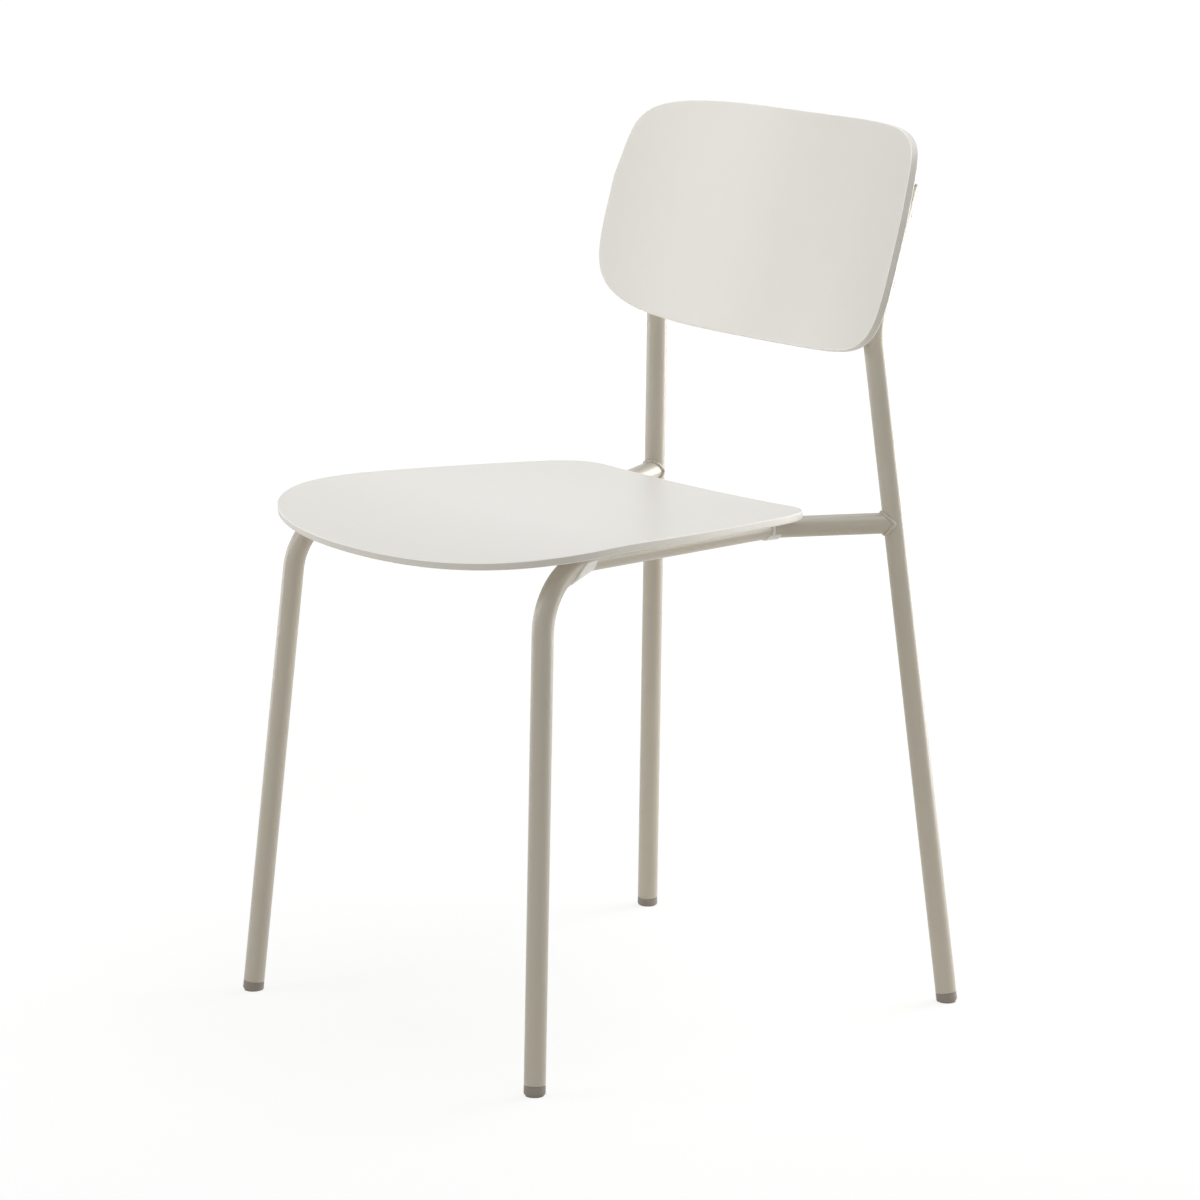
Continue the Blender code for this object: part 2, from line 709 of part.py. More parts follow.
def make_spacer(side, number, drop):
    """A plastic saddle between the upright and the panel, hollowed to the tube."""
    matrix = back_screw_matrix(side, drop)
    bore, reach = SCREW_RADIUS + HOLE_GAP, BACK_STANDOFF + SPACER_WRAP
    profile = [(SPACER_RADIUS, -CURVED_GAP), (SPACER_RADIUS, -reach), (bore, -reach), (bore, -CURVED_GAP)]
    name = f"back_spacer_{SIDE_NAMES[side]}_{number}"
    spacer = turned(name, profile, matrix, closed=True)
    _, bend, top = upright_points(side)
    cut(spacer, as_cutter(rod(name + "_saddle", bend, top, TUBE_RADIUS + HOLE_GAP, CUTTER_STEPS)))
    keep(spacer, pad_plastic)


def make_plug(side, number, drop):
    """A plug that closes the screw's access hole, level with the back of the upright."""
    name = f"back_plug_{SIDE_NAMES[side]}_{number}"
    centre, out = back_fixing(side, drop)
    plug = rod(name, centre + out * (TUBE_RADIUS - PLUG_LENGTH), centre + out * TUBE_RADIUS * 2, PLUG_RADIUS)
    _, bend, top = upright_points(side)
    body = as_cutter(rod(name + "_body", bend, top, TUBE_RADIUS, CUTTER_STEPS))
    cut(plug, body, "INTERSECT")
    keep(plug, cap_plastic)


def make_seat_fixings():
    for name, x, y in fixing_spots():
        matrix = seat_screw_matrix(x, y)
        make_plate(name, x, y)
        make_insert(f"seat_insert_{name}", matrix)
        make_screw(f"seat_screw_{name}", matrix, PLATE_GAP + PLATE_THICKNESS + GAP)


def make_back_fixings():
    for side in (LEFT, RIGHT):
        for number, drop in enumerate(BACK_SCREW_DROPS, 1):
            name = f"{SIDE_NAMES[side]}_{number}"
            matrix = back_screw_matrix(side, drop)
            centre, out = back_fixing(side, drop)
            distance = (centre - matrix.translation).dot(out)
            head_rest = math.sqrt(bore_radius() ** 2 - SCREW_HEAD_RADIUS ** 2)
            make_insert(f"back_insert_{name}", matrix)
            make_screw(f"back_screw_{name}", matrix, distance - head_rest)
            make_spacer(side, number, drop)
            make_plug(side, number, drop)


# Plastic parts

def make_glide(name, foot, leg):
    """A plug in the tube's end. Its foot is turned round the leg and cut level with the floor."""
    stem, top = bore_radius(), GLIDE_HEIGHT + GLIDE_STEM
    tread, below = TUBE_RADIUS - GLIDE_CHAMFER, -GLIDE_CHAMFER * 2
    profile = [
        (0, top), (stem - STEM_LEAD, top), (stem, top - STEM_LEAD * 2), (stem, GLIDE_HEIGHT),
        (TUBE_RADIUS, GLIDE_HEIGHT), (TUBE_RADIUS, GLIDE_CHAMFER + GLIDE_TREAD),
        (tread, GLIDE_TREAD), (tread, below), (0, below),
    ]
    glide = turned(name, profile, along(leg, foot))
    block = TUBE_RADIUS * 4
    bpy.ops.mesh.primitive_cube_add(size=block, location=(foot.x, foot.y, -block / 2))
    floor = bpy.context.object
    floor.name = name + "_floor"
    cut(glide, as_cutter(floor))
    keep(glide, glide_plastic)


def make_cap(side):
    """A plug that closes the upright's top end."""
    _, bend, top = upright_points(side)
    stem = bore_radius()
    crown = GAP + CAP_HEIGHT
    profile = [
        (0, crown), (TUBE_RADIUS - CAP_EDGE, crown), (TUBE_RADIUS, crown - CAP_EDGE),
        (TUBE_RADIUS, GAP), (stem, GAP), (stem, -CAP_STEM), (0, -CAP_STEM),
    ]
    keep(turned(f"tube_cap_{SIDE_NAMES[side]}", profile, along(top - bend, top)), cap_plastic)


def make_pad(name, path, start, end, thickness, wider):
    """A pad under a tube: a round bar set lower than the tube, less the tube itself.

    The two skins run nearly parallel, which the exact solver can lose, so the manifold one cuts them.
    """
    pad = swept(name, lowered(stretch(path, start, end), thickness), TUBE_RADIUS + wider)
    tube = stretch(path, start - PAD_CUT_BEYOND, end + PAD_CUT_BEYOND)
    cut(pad, as_cutter(swept(name + "_tube", tube, TUBE_RADIUS + GAP)), solver="MANIFOLD")
    keep(pad, pad_plastic)


def make_pads(side):
    """One behind the front bend, which rests on the chair below in a stack, and one at the kink."""
    path, name = side_frame_path(side), SIDE_NAMES[side]
    front, rear = pad_lengths(path)
    make_pad(f"front_pad_{name}", path, *front, FRONT_PAD_THICKNESS, FRONT_PAD_WIDER_THAN_TUBE)
    make_pad(f"rear_pad_{name}", path, *rear, REAR_PAD_THICKNESS, REAR_PAD_WIDER_THAN_TUBE)


for chair_side in (LEFT, RIGHT):
    side_name = SIDE_NAMES[chair_side]
    make_side_frame(chair_side)
    make_upright(chair_side)
    make_cap(chair_side)
    make_pads(chair_side)
    front_foot, front_corner = side_frame_points(chair_side)[:2]
    rear_foot, rear_bend, _ = upright_points(chair_side)
    make_glide(f"front_glide_{side_name}", front_foot, front_corner - front_foot)
    make_glide(f"rear_glide_{side_name}", rear_foot, rear_bend - rear_foot)
make_crossbar("front_crossbar", FRONT_BAR_Y)
make_crossbar("rear_crossbar", REAR_BAR_Y)
make_welds()
make_seat()
make_back()
make_seat_fixings()
make_back_fixings()
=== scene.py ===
import json
import math

import bmesh
import bpy
import numpy as np
from mathutils import Matrix, Vector


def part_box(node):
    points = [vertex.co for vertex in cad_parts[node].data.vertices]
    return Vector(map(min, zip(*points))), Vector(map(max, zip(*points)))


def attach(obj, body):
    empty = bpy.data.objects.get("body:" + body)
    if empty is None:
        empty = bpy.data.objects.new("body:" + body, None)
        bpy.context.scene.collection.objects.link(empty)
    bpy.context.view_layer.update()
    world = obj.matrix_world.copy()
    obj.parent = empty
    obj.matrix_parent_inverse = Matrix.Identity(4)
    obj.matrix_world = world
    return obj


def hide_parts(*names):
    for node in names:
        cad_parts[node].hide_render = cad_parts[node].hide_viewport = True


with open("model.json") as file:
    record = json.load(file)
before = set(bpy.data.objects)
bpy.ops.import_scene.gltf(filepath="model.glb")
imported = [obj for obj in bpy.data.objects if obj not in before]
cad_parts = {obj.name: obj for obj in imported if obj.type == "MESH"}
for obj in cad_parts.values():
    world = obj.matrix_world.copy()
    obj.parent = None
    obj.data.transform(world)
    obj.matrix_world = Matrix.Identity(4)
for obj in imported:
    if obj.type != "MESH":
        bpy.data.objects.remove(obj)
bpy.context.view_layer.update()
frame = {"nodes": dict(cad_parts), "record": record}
nodes = frame["nodes"]
feet = {mount["name"]: np.array(mount["pos_m"], float) for mount in frame["record"]["mounts"]}
bpy.context.scene.view_settings.view_transform = "Standard"
print("frame loaded:", len(nodes), "nodes")

left, right = 1, -1
sideNames = {left: "left", right: "right"}
xAxis, yAxis, zAxis = np.eye(3)


def unit(v):  # each vector over its own length
    return v / np.linalg.norm(v, axis=-1, keepdims=True)


def sided(side, point):  # a point of the left half, or its mirror on the right
    return np.array(point, float) * (side, 1, 1)


def straightRun(start, end, step):  # evenly spaced points from start to end
    count = max(1, math.ceil(np.linalg.norm(end - start) / step))
    return start + (end - start) * np.linspace(0, 1, count + 1)[:, None]


# Straight runs joined by arcs: an arc's centre lies on its corner's bisector, radius / sin(half the angle)
# away, and its point at turn t is centre + (touch - centre) cos t - back radius sin t
def roundedLine(corners, radii, arcStep=0.0025, runStep=0.02):
    corners = [np.asarray(corner, float) for corner in corners]
    line, last = [], corners[0]
    for before, corner, after, radius in zip(corners, corners[1:], corners[2:], radii):
        back, ahead = unit(before - corner), unit(after - corner)
        half = math.acos(np.clip(back @ ahead, -1, 1)) / 2
        touch = corner + back * radius / math.tan(half)
        centre = corner + unit(back + ahead) * radius / math.sin(half)
        turn = math.pi - 2 * half
        t = np.linspace(0, turn, max(3, math.ceil(turn * radius / arcStep)) + 1)[:, None]
        arc = centre + (touch - centre) * np.cos(t) - back * radius * np.sin(t)
        line += [straightRun(last, touch, runStep)[:-1], arc[:-1]]
        last = arc[-1]
    return np.vstack([*line, straightRun(last, corners[-1], runStep)])


# Along a path: heading is the mean of the two chords at a point, lift is the guide made square to it,
# and across is square to both
def crossAxes(path, guide):
    chords = unit(np.diff(path, axis=0))
    heading = unit(np.vstack([chords[:1], chords[:-1] + chords[1:], chords[-1:]]))
    lift = unit(guide - heading * (heading @ guide)[:, None])
    return heading, np.cross(heading, lift), lift


def runLengths(path):  # distance along the path to each of its points
    return np.concatenate([[0], np.cumsum(np.linalg.norm(np.diff(path, axis=0), axis=1))])


def atLength(run, values, lengths):  # values of the path's points, read at other lengths along it
    return np.stack([np.interp(lengths, run, column) for column in values.T], axis=-1)


def circle(sides):  # cosines and sines of evenly spaced angles
    angles = np.linspace(0, 2 * math.pi, sides, endpoint=False)
    return np.cos(angles)[:, None], np.sin(angles)[:, None]


# A circle of the radius, square to the path, at each of its points
def tubeRings(path, radius, guide, sides):
    _, across, lift = crossAxes(path, guide)
    cosines, sines = circle(sides)
    return path[:, None] + radius * (cosines * lift[:, None] + sines * across[:, None])


# Slides points along a heading to where they first meet a cylinder: the nearer root of
# |fromAxis + t across|^2 = radius^2, or the nearest pass where they miss it
def meetTube(points, heading, axisPoint, axis, radius):
    fromAxis = points - axisPoint
    fromAxis = fromAxis - axis * (fromAxis @ axis)[..., None]
    across = heading - axis * (heading @ axis)
    speed, closing = across @ across, fromAxis @ across
    room = closing ** 2 - speed * ((fromAxis ** 2).sum(-1) - radius ** 2)
    return points + heading * ((-closing - np.sqrt(np.maximum(room, 0))) / speed)[..., None]


def axesAlong(direction):  # three square axes, the last one along the direction
    third = unit(np.asarray(direction, float))
    first = unit(np.cross(yAxis if abs(third[1]) < 0.8 else zAxis, third))
    return first, np.cross(third, first), third


# A turned shape: every profile point (radius, height) carried round the axis. A radius may be one
# number or one for each side
def turnedRings(origin, direction, radii, heights, sides):
    first, second, third = axesAlong(direction)
    cosines, sines = circle(sides)
    radii = np.stack([np.broadcast_to(radius, sides) for radius in radii])[..., None]
    return origin + np.asarray(heights)[:, None, None] * third + radii * (cosines * first + sines * second)


# Quads between neighbouring rings, and round each ring
def ringFaces(count, sides, loop):
    row, column = np.meshgrid(np.arange(count if loop else count - 1), np.arange(sides), indexing="ij")
    after, beside = (row + 1) % count, (column + 1) % sides
    corners = (row * sides + column, row * sides + beside, after * sides + beside, after * sides + column)
    return np.stack(corners, axis=-1).reshape(-1, 4).tolist()


def newPiece(name, points, faces, finish, stands, sharp=35, values=None):
    mesh = bpy.data.meshes.new(name)
    mesh.from_pydata(np.asarray(points).reshape(-1, 3).tolist(), [], faces)
    for label, numbers in (values or {}).items():
        attribute = mesh.attributes.new(label, "FLOAT", "POINT")
        attribute.data.foreach_set("value", np.asarray(numbers, np.float32))
    work = bmesh.new()
    work.from_mesh(mesh)
    bmesh.ops.remove_doubles(work, verts=work.verts, dist=1e-6)
    bmesh.ops.recalc_face_normals(work, faces=work.faces)
    work.to_mesh(mesh)
    work.free()
    mesh.shade_smooth()
    mesh.set_sharp_from_angle(angle=math.radians(sharp))
    mesh.materials.append(finish)
    piece = bpy.data.objects.new(name, mesh)
    bpy.context.scene.collection.objects.link(piece)
    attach(piece, "root")
    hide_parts(*stands)
    return piece


# A skin of rings: closed into a loop, or capped at both ends
def ringPiece(name, rings, finish, stands, loop=False, sharp=35):
    count, sides = rings.shape[:2]
    faces = ringFaces(count, sides, loop)
    if not loop:
        faces += [list(range(sides))[::-1], list(range((count - 1) * sides, count * sides))]
    return newPiece(name, rings, faces, finish, stands, sharp)


def put(tree, kind, feeds=None, **settings):  # a node with its settings, its values and its links
    node = tree.nodes.new(kind)
    node.location.x = 190 * len(tree.nodes)
    for setting, value in settings.items():
        setattr(node, setting, value)
    for socket, source in (feeds or {}).items():
        if isinstance(source, bpy.types.NodeSocket):
            tree.links.new(source, node.inputs[socket])
        else:
            node.inputs[socket].default_value = source
    return node


def arithmetic(tree, operation, *values):  # the result of one sum, product or other operation
    return put(tree, "ShaderNodeMath", dict(enumerate(values)), operation=operation).outputs[0]


def scaled(tree, colour, factor):
    feeds = {0: colour, "Scale": factor}
    return put(tree, "ShaderNodeVectorMath", feeds, operation="SCALE").outputs["Vector"]


def newGroup(name, inputs, outputs):
    group = bpy.data.node_groups.new(name, "ShaderNodeTree")
    for label, kind, value in inputs:
        socket = group.interface.new_socket(label, in_out="INPUT", socket_type="NodeSocket" + kind)
        if value is not None:
            socket.default_value = value
    for label, kind in outputs:
        group.interface.new_socket(label, in_out="OUTPUT", socket_type="NodeSocket" + kind)
    return group, group.nodes.new("NodeGroupInput").outputs, group.nodes.new("NodeGroupOutput").inputs


gritFineness = 2.7  # how many grains go across a pebble


# Sprayed finish: soft pebbles with a finer grit on them. Size is a pebble's width in metres
def makeOrangePeel():
    group, given, made = newGroup(
        "orangePeel",
        [("Vector", "Vector", None), ("Size", "Float", 0.001), ("Grit", "Float", 0.3)],
        [("Height", "Float"), ("Speckle", "Float")])
    frequency = arithmetic(group, "DIVIDE", 1.0, given["Size"])
    pebbles = put(group, "ShaderNodeTexNoise", {
        "Vector": given["Vector"], "Scale": frequency, "Detail": 1.0, "Roughness": 0.4})
    finer = arithmetic(group, "MULTIPLY", frequency, gritFineness)
    grit = put(group, "ShaderNodeTexNoise", {
        "Vector": given["Vector"], "Scale": finer, "Detail": 2.0, "Roughness": 0.6})
    gritShare = arithmetic(group, "MULTIPLY", grit.outputs["Fac"], given["Grit"])
    group.links.new(arithmetic(group, "ADD", pebbles.outputs["Fac"], gritShare), made["Height"])
    group.links.new(grit.outputs["Fac"], made["Speckle"])
    return group


# Slow drift of a colour, a little lighter and darker, with fine specks in it
def makeToneDrift():
    group, given, made = newGroup(
        "toneDrift",
        [("Vector", "Vector", None), ("Colour", "Color", (1, 1, 1, 1)), ("Size", "Float", 0.2),
         ("Drift", "Float", 0.03), ("Speckle", "Float", 0.5), ("Specks", "Float", 0.03)],
        [("Colour", "Color"), ("Drift", "Float")])
    frequency = arithmetic(group, "DIVIDE", 1.0, given["Size"])
    cloud = put(group, "ShaderNodeTexNoise", {
        "Vector": given["Vector"], "Scale": frequency, "Detail": 2.0, "Roughness": 0.5}).outputs["Fac"]
    slow = arithmetic(group, "SUBTRACT", cloud, 0.5)
    fine = arithmetic(group, "SUBTRACT", given["Speckle"], 0.5)
    slowPart = arithmetic(group, "MULTIPLY_ADD", slow, given["Drift"], 1.0)
    factor = arithmetic(group, "MULTIPLY_ADD", fine, given["Specks"], slowPart)
    group.links.new(scaled(group, given["Colour"], factor), made["Colour"])
    group.links.new(cloud, made["Drift"])
    return group


orangePeel = makeOrangePeel()
toneDrift = makeToneDrift()

roughnessDrift = 0.05  # how far a finish's roughness strays either way
finishes = {
    "framePaint": {"colour": (0.50, 0.467, 0.402), "roughness": 0.30, "peel": 0.0011, "grit": 0.35,
                   "bump": 0.10, "drift": 0.05, "driftSize": 0.09, "specks": 0.05},
    "capPlastic": {"colour": (0.49, 0.458, 0.395), "roughness": 0.50, "peel": 0.0007, "grit": 0.6,
                   "bump": 0.08, "drift": 0.03, "driftSize": 0.02, "specks": 0.04},
    "glidePlastic": {"colour": (0.26, 0.235, 0.21), "roughness": 0.56, "peel": 0.0006, "grit": 0.8,
                     "bump": 0.16, "drift": 0.10, "driftSize": 0.012, "specks": 0.08},
    "padPlastic": {"colour": (0.87, 0.865, 0.845), "roughness": 0.38, "peel": 0.0009, "grit": 0.4,
                   "bump": 0.06, "drift": 0.03, "driftSize": 0.02, "specks": 0.02},
    "zincPlate": {"colour": (0.62, 0.62, 0.60), "roughness": 0.34, "peel": 0.0004, "grit": 0.8,
                  "bump": 0.08, "drift": 0.10, "driftSize": 0.004, "specks": 0.06},
    "panelLacquer": {"colour": (0.83, 0.815, 0.775), "roughness": 0.36, "peel": 0.0014, "grit": 0.4,
                     "bump": 0.10, "drift": 0.025, "driftSize": 0.16, "specks": 0.03},
}


# Every finish here is a coloured base with drift and specks, under a sprayed or moulded skin
def newFinish(name, look):
    made = bpy.data.materials.new(name)
    made.use_nodes = True
    tree = made.node_tree
    shader = tree.nodes["Principled BSDF"]
    place = put(tree, "ShaderNodeTexCoord").outputs["Object"]
    peel = put(tree, "ShaderNodeGroup", {
        "Vector": place, "Size": look["peel"], "Grit": look["grit"]}, node_tree=orangePeel)
    tone = put(tree, "ShaderNodeGroup", {
        "Vector": place, "Colour": (*look["colour"], 1), "Size": look["driftSize"], "Drift": look["drift"],
        "Speckle": peel.outputs["Speckle"], "Specks": look["specks"]}, node_tree=toneDrift)
    bump = put(tree, "ShaderNodeBump", {
        "Height": peel.outputs["Height"], "Strength": look["bump"], "Distance": look["peel"] / 2})
    rough = put(tree, "ShaderNodeMapRange", {
        "Value": tone.outputs["Drift"], "To Min": look["roughness"] - roughnessDrift,
        "To Max": look["roughness"] + roughnessDrift})
    tree.links.new(tone.outputs["Colour"], shader.inputs["Base Color"])
    tree.links.new(rough.outputs["Result"], shader.inputs["Roughness"])
    tree.links.new(bump.outputs["Normal"], shader.inputs["Normal"])
    return made


paints = {name: newFinish(name, look) for name, look in finishes.items()}
paints["zincPlate"].node_tree.nodes["Principled BSDF"].inputs["Metallic"].default_value = 1.0
padShader = paints["padPlastic"].node_tree.nodes["Principled BSDF"]
padShader.inputs["Subsurface Weight"].default_value = 0.35
padShader.inputs["Subsurface Radius"].default_value = (0.004, 0.0036, 0.003)
padShader.inputs["Subsurface Scale"].default_value = 1.0
framePaint, panelLacquer = paints["framePaint"], paints["panelLacquer"]

# On the panels' edges the ply layers show faintly through the lacquer, as bands across the thickness. The
# lacquer colour also carries painted light
# on the edge: a painted highlight, paler, on the two arrises, and a painted shade, darker, between them
pliesAndPaintedLight = {"count": 5, "dark": 0.10, "fade": 0.6, "patches": 45.0, "patchDetail": 3.0,
         "arris": 0.13, "paintedHighlight": 1.16, "paintedShade": 0.84}


# Adds the ply bands, the painted arris highlight and the painted edge shade to the lacquer's colour
def addPliesAndPaintedLight(made, look):
    tree = made.node_tree
    shader = tree.nodes["Principled BSDF"]
    colour = shader.inputs["Base Color"].links[0].from_socket
    onEdge = put(tree, "ShaderNodeAttribute", attribute_name="onEdge").outputs["Fac"]
    depth = put(tree, "ShaderNodeAttribute", attribute_name="edgeDepth").outputs["Fac"]
    seam = arithmetic(tree, "SUBTRACT", 1.0, arithmetic(tree, "ABSOLUTE", arithmetic(tree, "SINE", arithmetic(
        tree, "MULTIPLY", depth, look["count"] * math.pi))))
    patchy = put(tree, "ShaderNodeTexNoise", {
        "Vector": put(tree, "ShaderNodeTexCoord").outputs["Object"], "Scale": look["patches"],
        "Detail": look["patchDetail"]}).outputs["Fac"]
    share = arithmetic(tree, "MULTIPLY", arithmetic(tree, "MULTIPLY", seam, patchy), onEdge)
    toned = scaled(tree, colour, arithmetic(tree, "SUBTRACT", 1.0, arithmetic(
        tree, "MULTIPLY", share, look["dark"] / look["fade"])))
    # Painted highlight and painted shade: the edge colour is scaled up near the two arrises and down between
    # them
    lift = put(tree, "ShaderNodeMapRange", {
        "Value": arithmetic(tree, "ABSOLUTE", arithmetic(tree, "SUBTRACT", depth, 0.5)),
        "From Min": 0.5 - look["arris"], "From Max": 0.5 - look["arris"] / 2,
        "To Min": look["paintedShade"], "To Max": look["paintedHighlight"]}, interpolation_type="SMOOTHSTEP").outputs["Result"]
    paintedEdgeLight = put(tree, "ShaderNodeMix", {0: onEdge, 2: 1.0, 3: lift}, data_type="FLOAT").outputs[0]
    tree.links.new(scaled(tree, toned, paintedEdgeLight), shader.inputs["Base Color"])


addPliesAndPaintedLight(panelLacquer, pliesAndPaintedLight)
print("finishes made:", ", ".join(paints))


frameTube = {
    "radius": 0.0095, "wall": 0.0016, "sides": 64,
    "railFront": (0.1785, -0.196, 0.4510), "kink": (0.118, 0.110, 0.440),
    "uprightBend": (0.151, 0.197, 0.6155), "uprightTop": (0.155, 0.2347, 0.7414),
    "frontBend": 0.060, "kinkBend": 0.050, "backBend": 0.085,
    "glide": 0.009, "seam": 0.0002, "touch": 0.0001,
}
crossbar = {"radius": 0.0065, "wall": 0.0015, "sides": 48, "step": 0.02}


def frontFoot(side):
    return feet[f"front_{sideNames[side]}_foot"]


def rearFoot(side):
    return feet[f"rear_{sideNames[side]}_foot"]


def uprightCorners(side):
    return rearFoot(side), sided(side, frameTube["uprightBend"]), sided(side, frameTube["uprightTop"])


def railEnd(side):  # where the rail's centre line meets the upright's, level with the kink
    foot, bend, _ = uprightCorners(side)
    return foot + (bend - foot) * (frameTube["kink"][2] / bend[2])


def sideFrameCorners(side):
    front, kinkPoint = (sided(side, frameTube[corner]) for corner in ("railFront", "kink"))
    return frontFoot(side), front, kinkPoint, railEnd(side)


def aboveGlide(corners, height):  # the same corners, the first one moved up its leg
    first, second = corners[:2]
    return [first + unit(second - first) * height, *corners[1:]]


def sideFramePath(side, height=0.0):
    corners = aboveGlide(sideFrameCorners(side), height)
    return roundedLine(corners, (frameTube["frontBend"], frameTube["kinkBend"]))


def tubeShell(path, look, guide):  # the tube's outer skin, then its inner one
    return [tubeRings(path, look["radius"] - depth, guide, look["sides"]) for depth in (0, look["wall"])]


def makeTubes():
    start = frameTube["glide"] + frameTube["seam"]
    reach = frameTube["radius"] + frameTube["touch"]
    for side in (left, right):
        name = sideNames[side]
        path = sideFramePath(side, start)
        outer, inner = tubeShell(path, frameTube, xAxis)
        foot, bend, _ = uprightCorners(side)
        for skin in (outer, inner):  # the mouth that fits the upright
            skin[-1] = meetTube(skin[-1], unit(path[-1] - path[-2]), foot, unit(bend - foot), reach)
        ringPiece(f"sideFrameTube_{name}", np.vstack([outer, inner[::-1]]), framePaint,
                  [f"side_frame_{name}"], loop=True)
        path = roundedLine(aboveGlide(uprightCorners(side), start), (frameTube["backBend"],))
        outer, inner = tubeShell(path, frameTube, xAxis)
        ringPiece(f"uprightTube_{name}", np.vstack([outer, inner[::-1]]), framePaint,
                  [f"upright_{name}"], loop=True)
    print("frame tubes made")


seat = {
    "thickness": 0.007, "frontY": -0.2635, "widest": (0.210, -0.150), "sideEnd": (0.185, 0.040),
    "rearEnd": (0.131, 0.121), "sideAngle": 12.3, "flatterThanRail": 0.015, "dishRadius": 4.5,
    "rollStart": -0.102, "rollDrop": 0.017,
    "frontReach": 0.1176, "shoulderReach": 0.085, "sideReach": 0.075, "sideEndReach": 0.050,
    "cornerReach": 0.039, "rearReach": 0.040,
    "topEdge": 0.0011, "underEdge": 0.0013, "cells": 96, "arrisSteps": 8, "edgeSteps": 6,
}
backrest = {
    "thickness": 0.007, "radius": 0.432, "halfWidth": 0.2093, "above": 0.0907, "below": 0.1225,
    "belowTop": 0.0357, "topTaper": 0.062, "standoff": 0.0028,
    "topPowers": (3.04, 6.3), "bottomPowers": (4.8, 5.3),
    "topEdge": 0.0011, "underEdge": 0.0012, "cells": 96, "arrisSteps": 8, "edgeSteps": 6,
}

railFront, kink = frameTube["railFront"], frameTube["kink"]
seatSlope = (railFront[2] - kink[2]) / (kink[1] - railFront[1]) - seat["flatterThanRail"]


# Height of the seat's top: dished across by x^2 / 2R, sloping back, and rolled down by a parabola in front
def seatShape(plan):
    x, y = plan[..., 0], plan[..., 1]
    past = np.maximum(0, seat["rollStart"] - y) / (seat["rollStart"] - seat["frontY"])
    return x ** 2 / (2 * seat["dishRadius"]) - seatSlope * y - seat["rollDrop"] * past ** 2


def bezier(a, b, c, d, steps=400):  # one cubic curve, without its last point
    t = np.linspace(0, 1, steps, endpoint=False)[:, None]
    return a * (1 - t) ** 3 + b * 3 * t * (1 - t) ** 2 + c * 3 * t ** 2 * (1 - t) + d * t ** 3


# The seat's plan: four curves from the middle of the front to the middle of the rear, and their mirror
def seatOutline():
    angle = math.radians(seat["sideAngle"])
    out, back = np.eye(2)
    sideWay = np.array((-math.sin(angle), math.cos(angle)))
    front, rear = np.array((0, seat["frontY"])), np.array((0, seat["rearEnd"][1]))
    widest, sideEnd, rearEnd = (np.array(seat[key]) for key in ("widest", "sideEnd", "rearEnd"))
    corner, rearReach = seat["cornerReach"], seat["rearReach"]
    half = np.vstack([
        bezier(front, front + out * seat["frontReach"], widest - back * seat["shoulderReach"], widest),
        bezier(widest, widest + back * seat["sideReach"], sideEnd - sideWay * seat["sideEndReach"], sideEnd),
        bezier(sideEnd, sideEnd + sideWay * corner, rearEnd + out * corner, rearEnd),
        bezier(rearEnd, rearEnd - out * rearReach, rear + out * rearReach, rear),
        rear[None]])
    return np.vstack([half, half[-2:0:-1] * (-1, 1)])


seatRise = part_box("seat_panel")[1].z - seatShape(seatOutline()).max()


def seatPoint(plan, depth=0.0):  # the top surface, or a layer below it, measured square to the surface
    step = 1e-4
    across = (seatShape(plan + (step, 0)) - seatShape(plan - (step, 0))) / (2 * step)
    back = (seatShape(plan + (0, step)) - seatShape(plan - (0, step))) / (2 * step)
    normal = unit(np.stack([-across, -back, np.ones_like(across)], axis=-1))
    top = np.stack([plan[..., 0], plan[..., 1], seatRise + seatShape(plan)], axis=-1)
    return top - normal * np.asarray(depth)[..., None]


def seatUp(plan):
    return unit(seatPoint(plan) - seatPoint(plan, 0.01))


# The back panel is part of a cylinder whose axis leans with the uprights, and which clears both of them
_, bendPoint, topPoint = uprightCorners(left)
lean = math.atan2(topPoint[1] - bendPoint[1], topPoint[2] - bendPoint[2])
backUp = np.array((0, math.sin(lean), math.cos(lean)))
backOut = np.array((0, math.cos(lean), -math.sin(lean)))
tubePoint = topPoint + (bendPoint - topPoint) * backrest["belowTop"] / (topPoint[2] - bendPoint[2])
tubeReach = backrest["radius"] + backrest["thickness"] + backrest["standoff"] + frameTube["radius"]
tubeDepth = math.sqrt(tubeReach ** 2 - tubePoint[0] ** 2)
backAxis = tubePoint * (0, 1, 1) - backOut * tubeDepth


# The superellipse |x|^p + |y|^q = 1, from the middle of its foot round to there again
def backOutline():
    t = np.linspace(-math.pi / 2, 1.5 * math.pi, 4000, endpoint=False)
    cosines, sines = np.cos(t), np.sin(t)
    topHalf = sines > 0
    powers = [np.where(topHalf, *pair) for pair in zip(backrest["topPowers"], backrest["bottomPowers"])]
    across = np.sign(cosines) * np.abs(cosines) ** (2 / powers[0])
    up = np.sign(sines) * np.abs(sines) ** (2 / powers[1])
    taper = np.where(topHalf, 1 - backrest["topTaper"] * up, 1)
    height = np.where(topHalf, backrest["above"], backrest["below"])
    return np.stack([across * backrest["halfWidth"] * taper, up * height], axis=-1)


def backPoint(plan, depth=0.0):  # the front face bent round the cylinder, or a layer behind it
    angle = (plan[..., 0] / backrest["radius"])[..., None]
    out = np.sin(angle) * xAxis + np.cos(angle) * backOut
    return backAxis + plan[..., 1:] * backUp + out * (backrest["radius"] + np.asarray(depth)[..., None])


def evenOutline(outline, count):  # the closed outline again, with evenly spaced points
    closed = np.vstack([outline, outline[:1]])
    run = runLengths(closed)
    return atLength(run, closed, np.linspace(0, run[-1], count, endpoint=False))


# Which rim point of a square a direction points to, counted in half sides from the middle of its foot
def squareWalk(u, v):
    reach = np.maximum(np.maximum(np.abs(u), np.abs(v)), 1e-12)
    a, b = u / reach, v / reach
    return np.select([b <= -1, a >= 1, b >= 1], [a, 2 + b, 4 - a], 6 - b) % 8


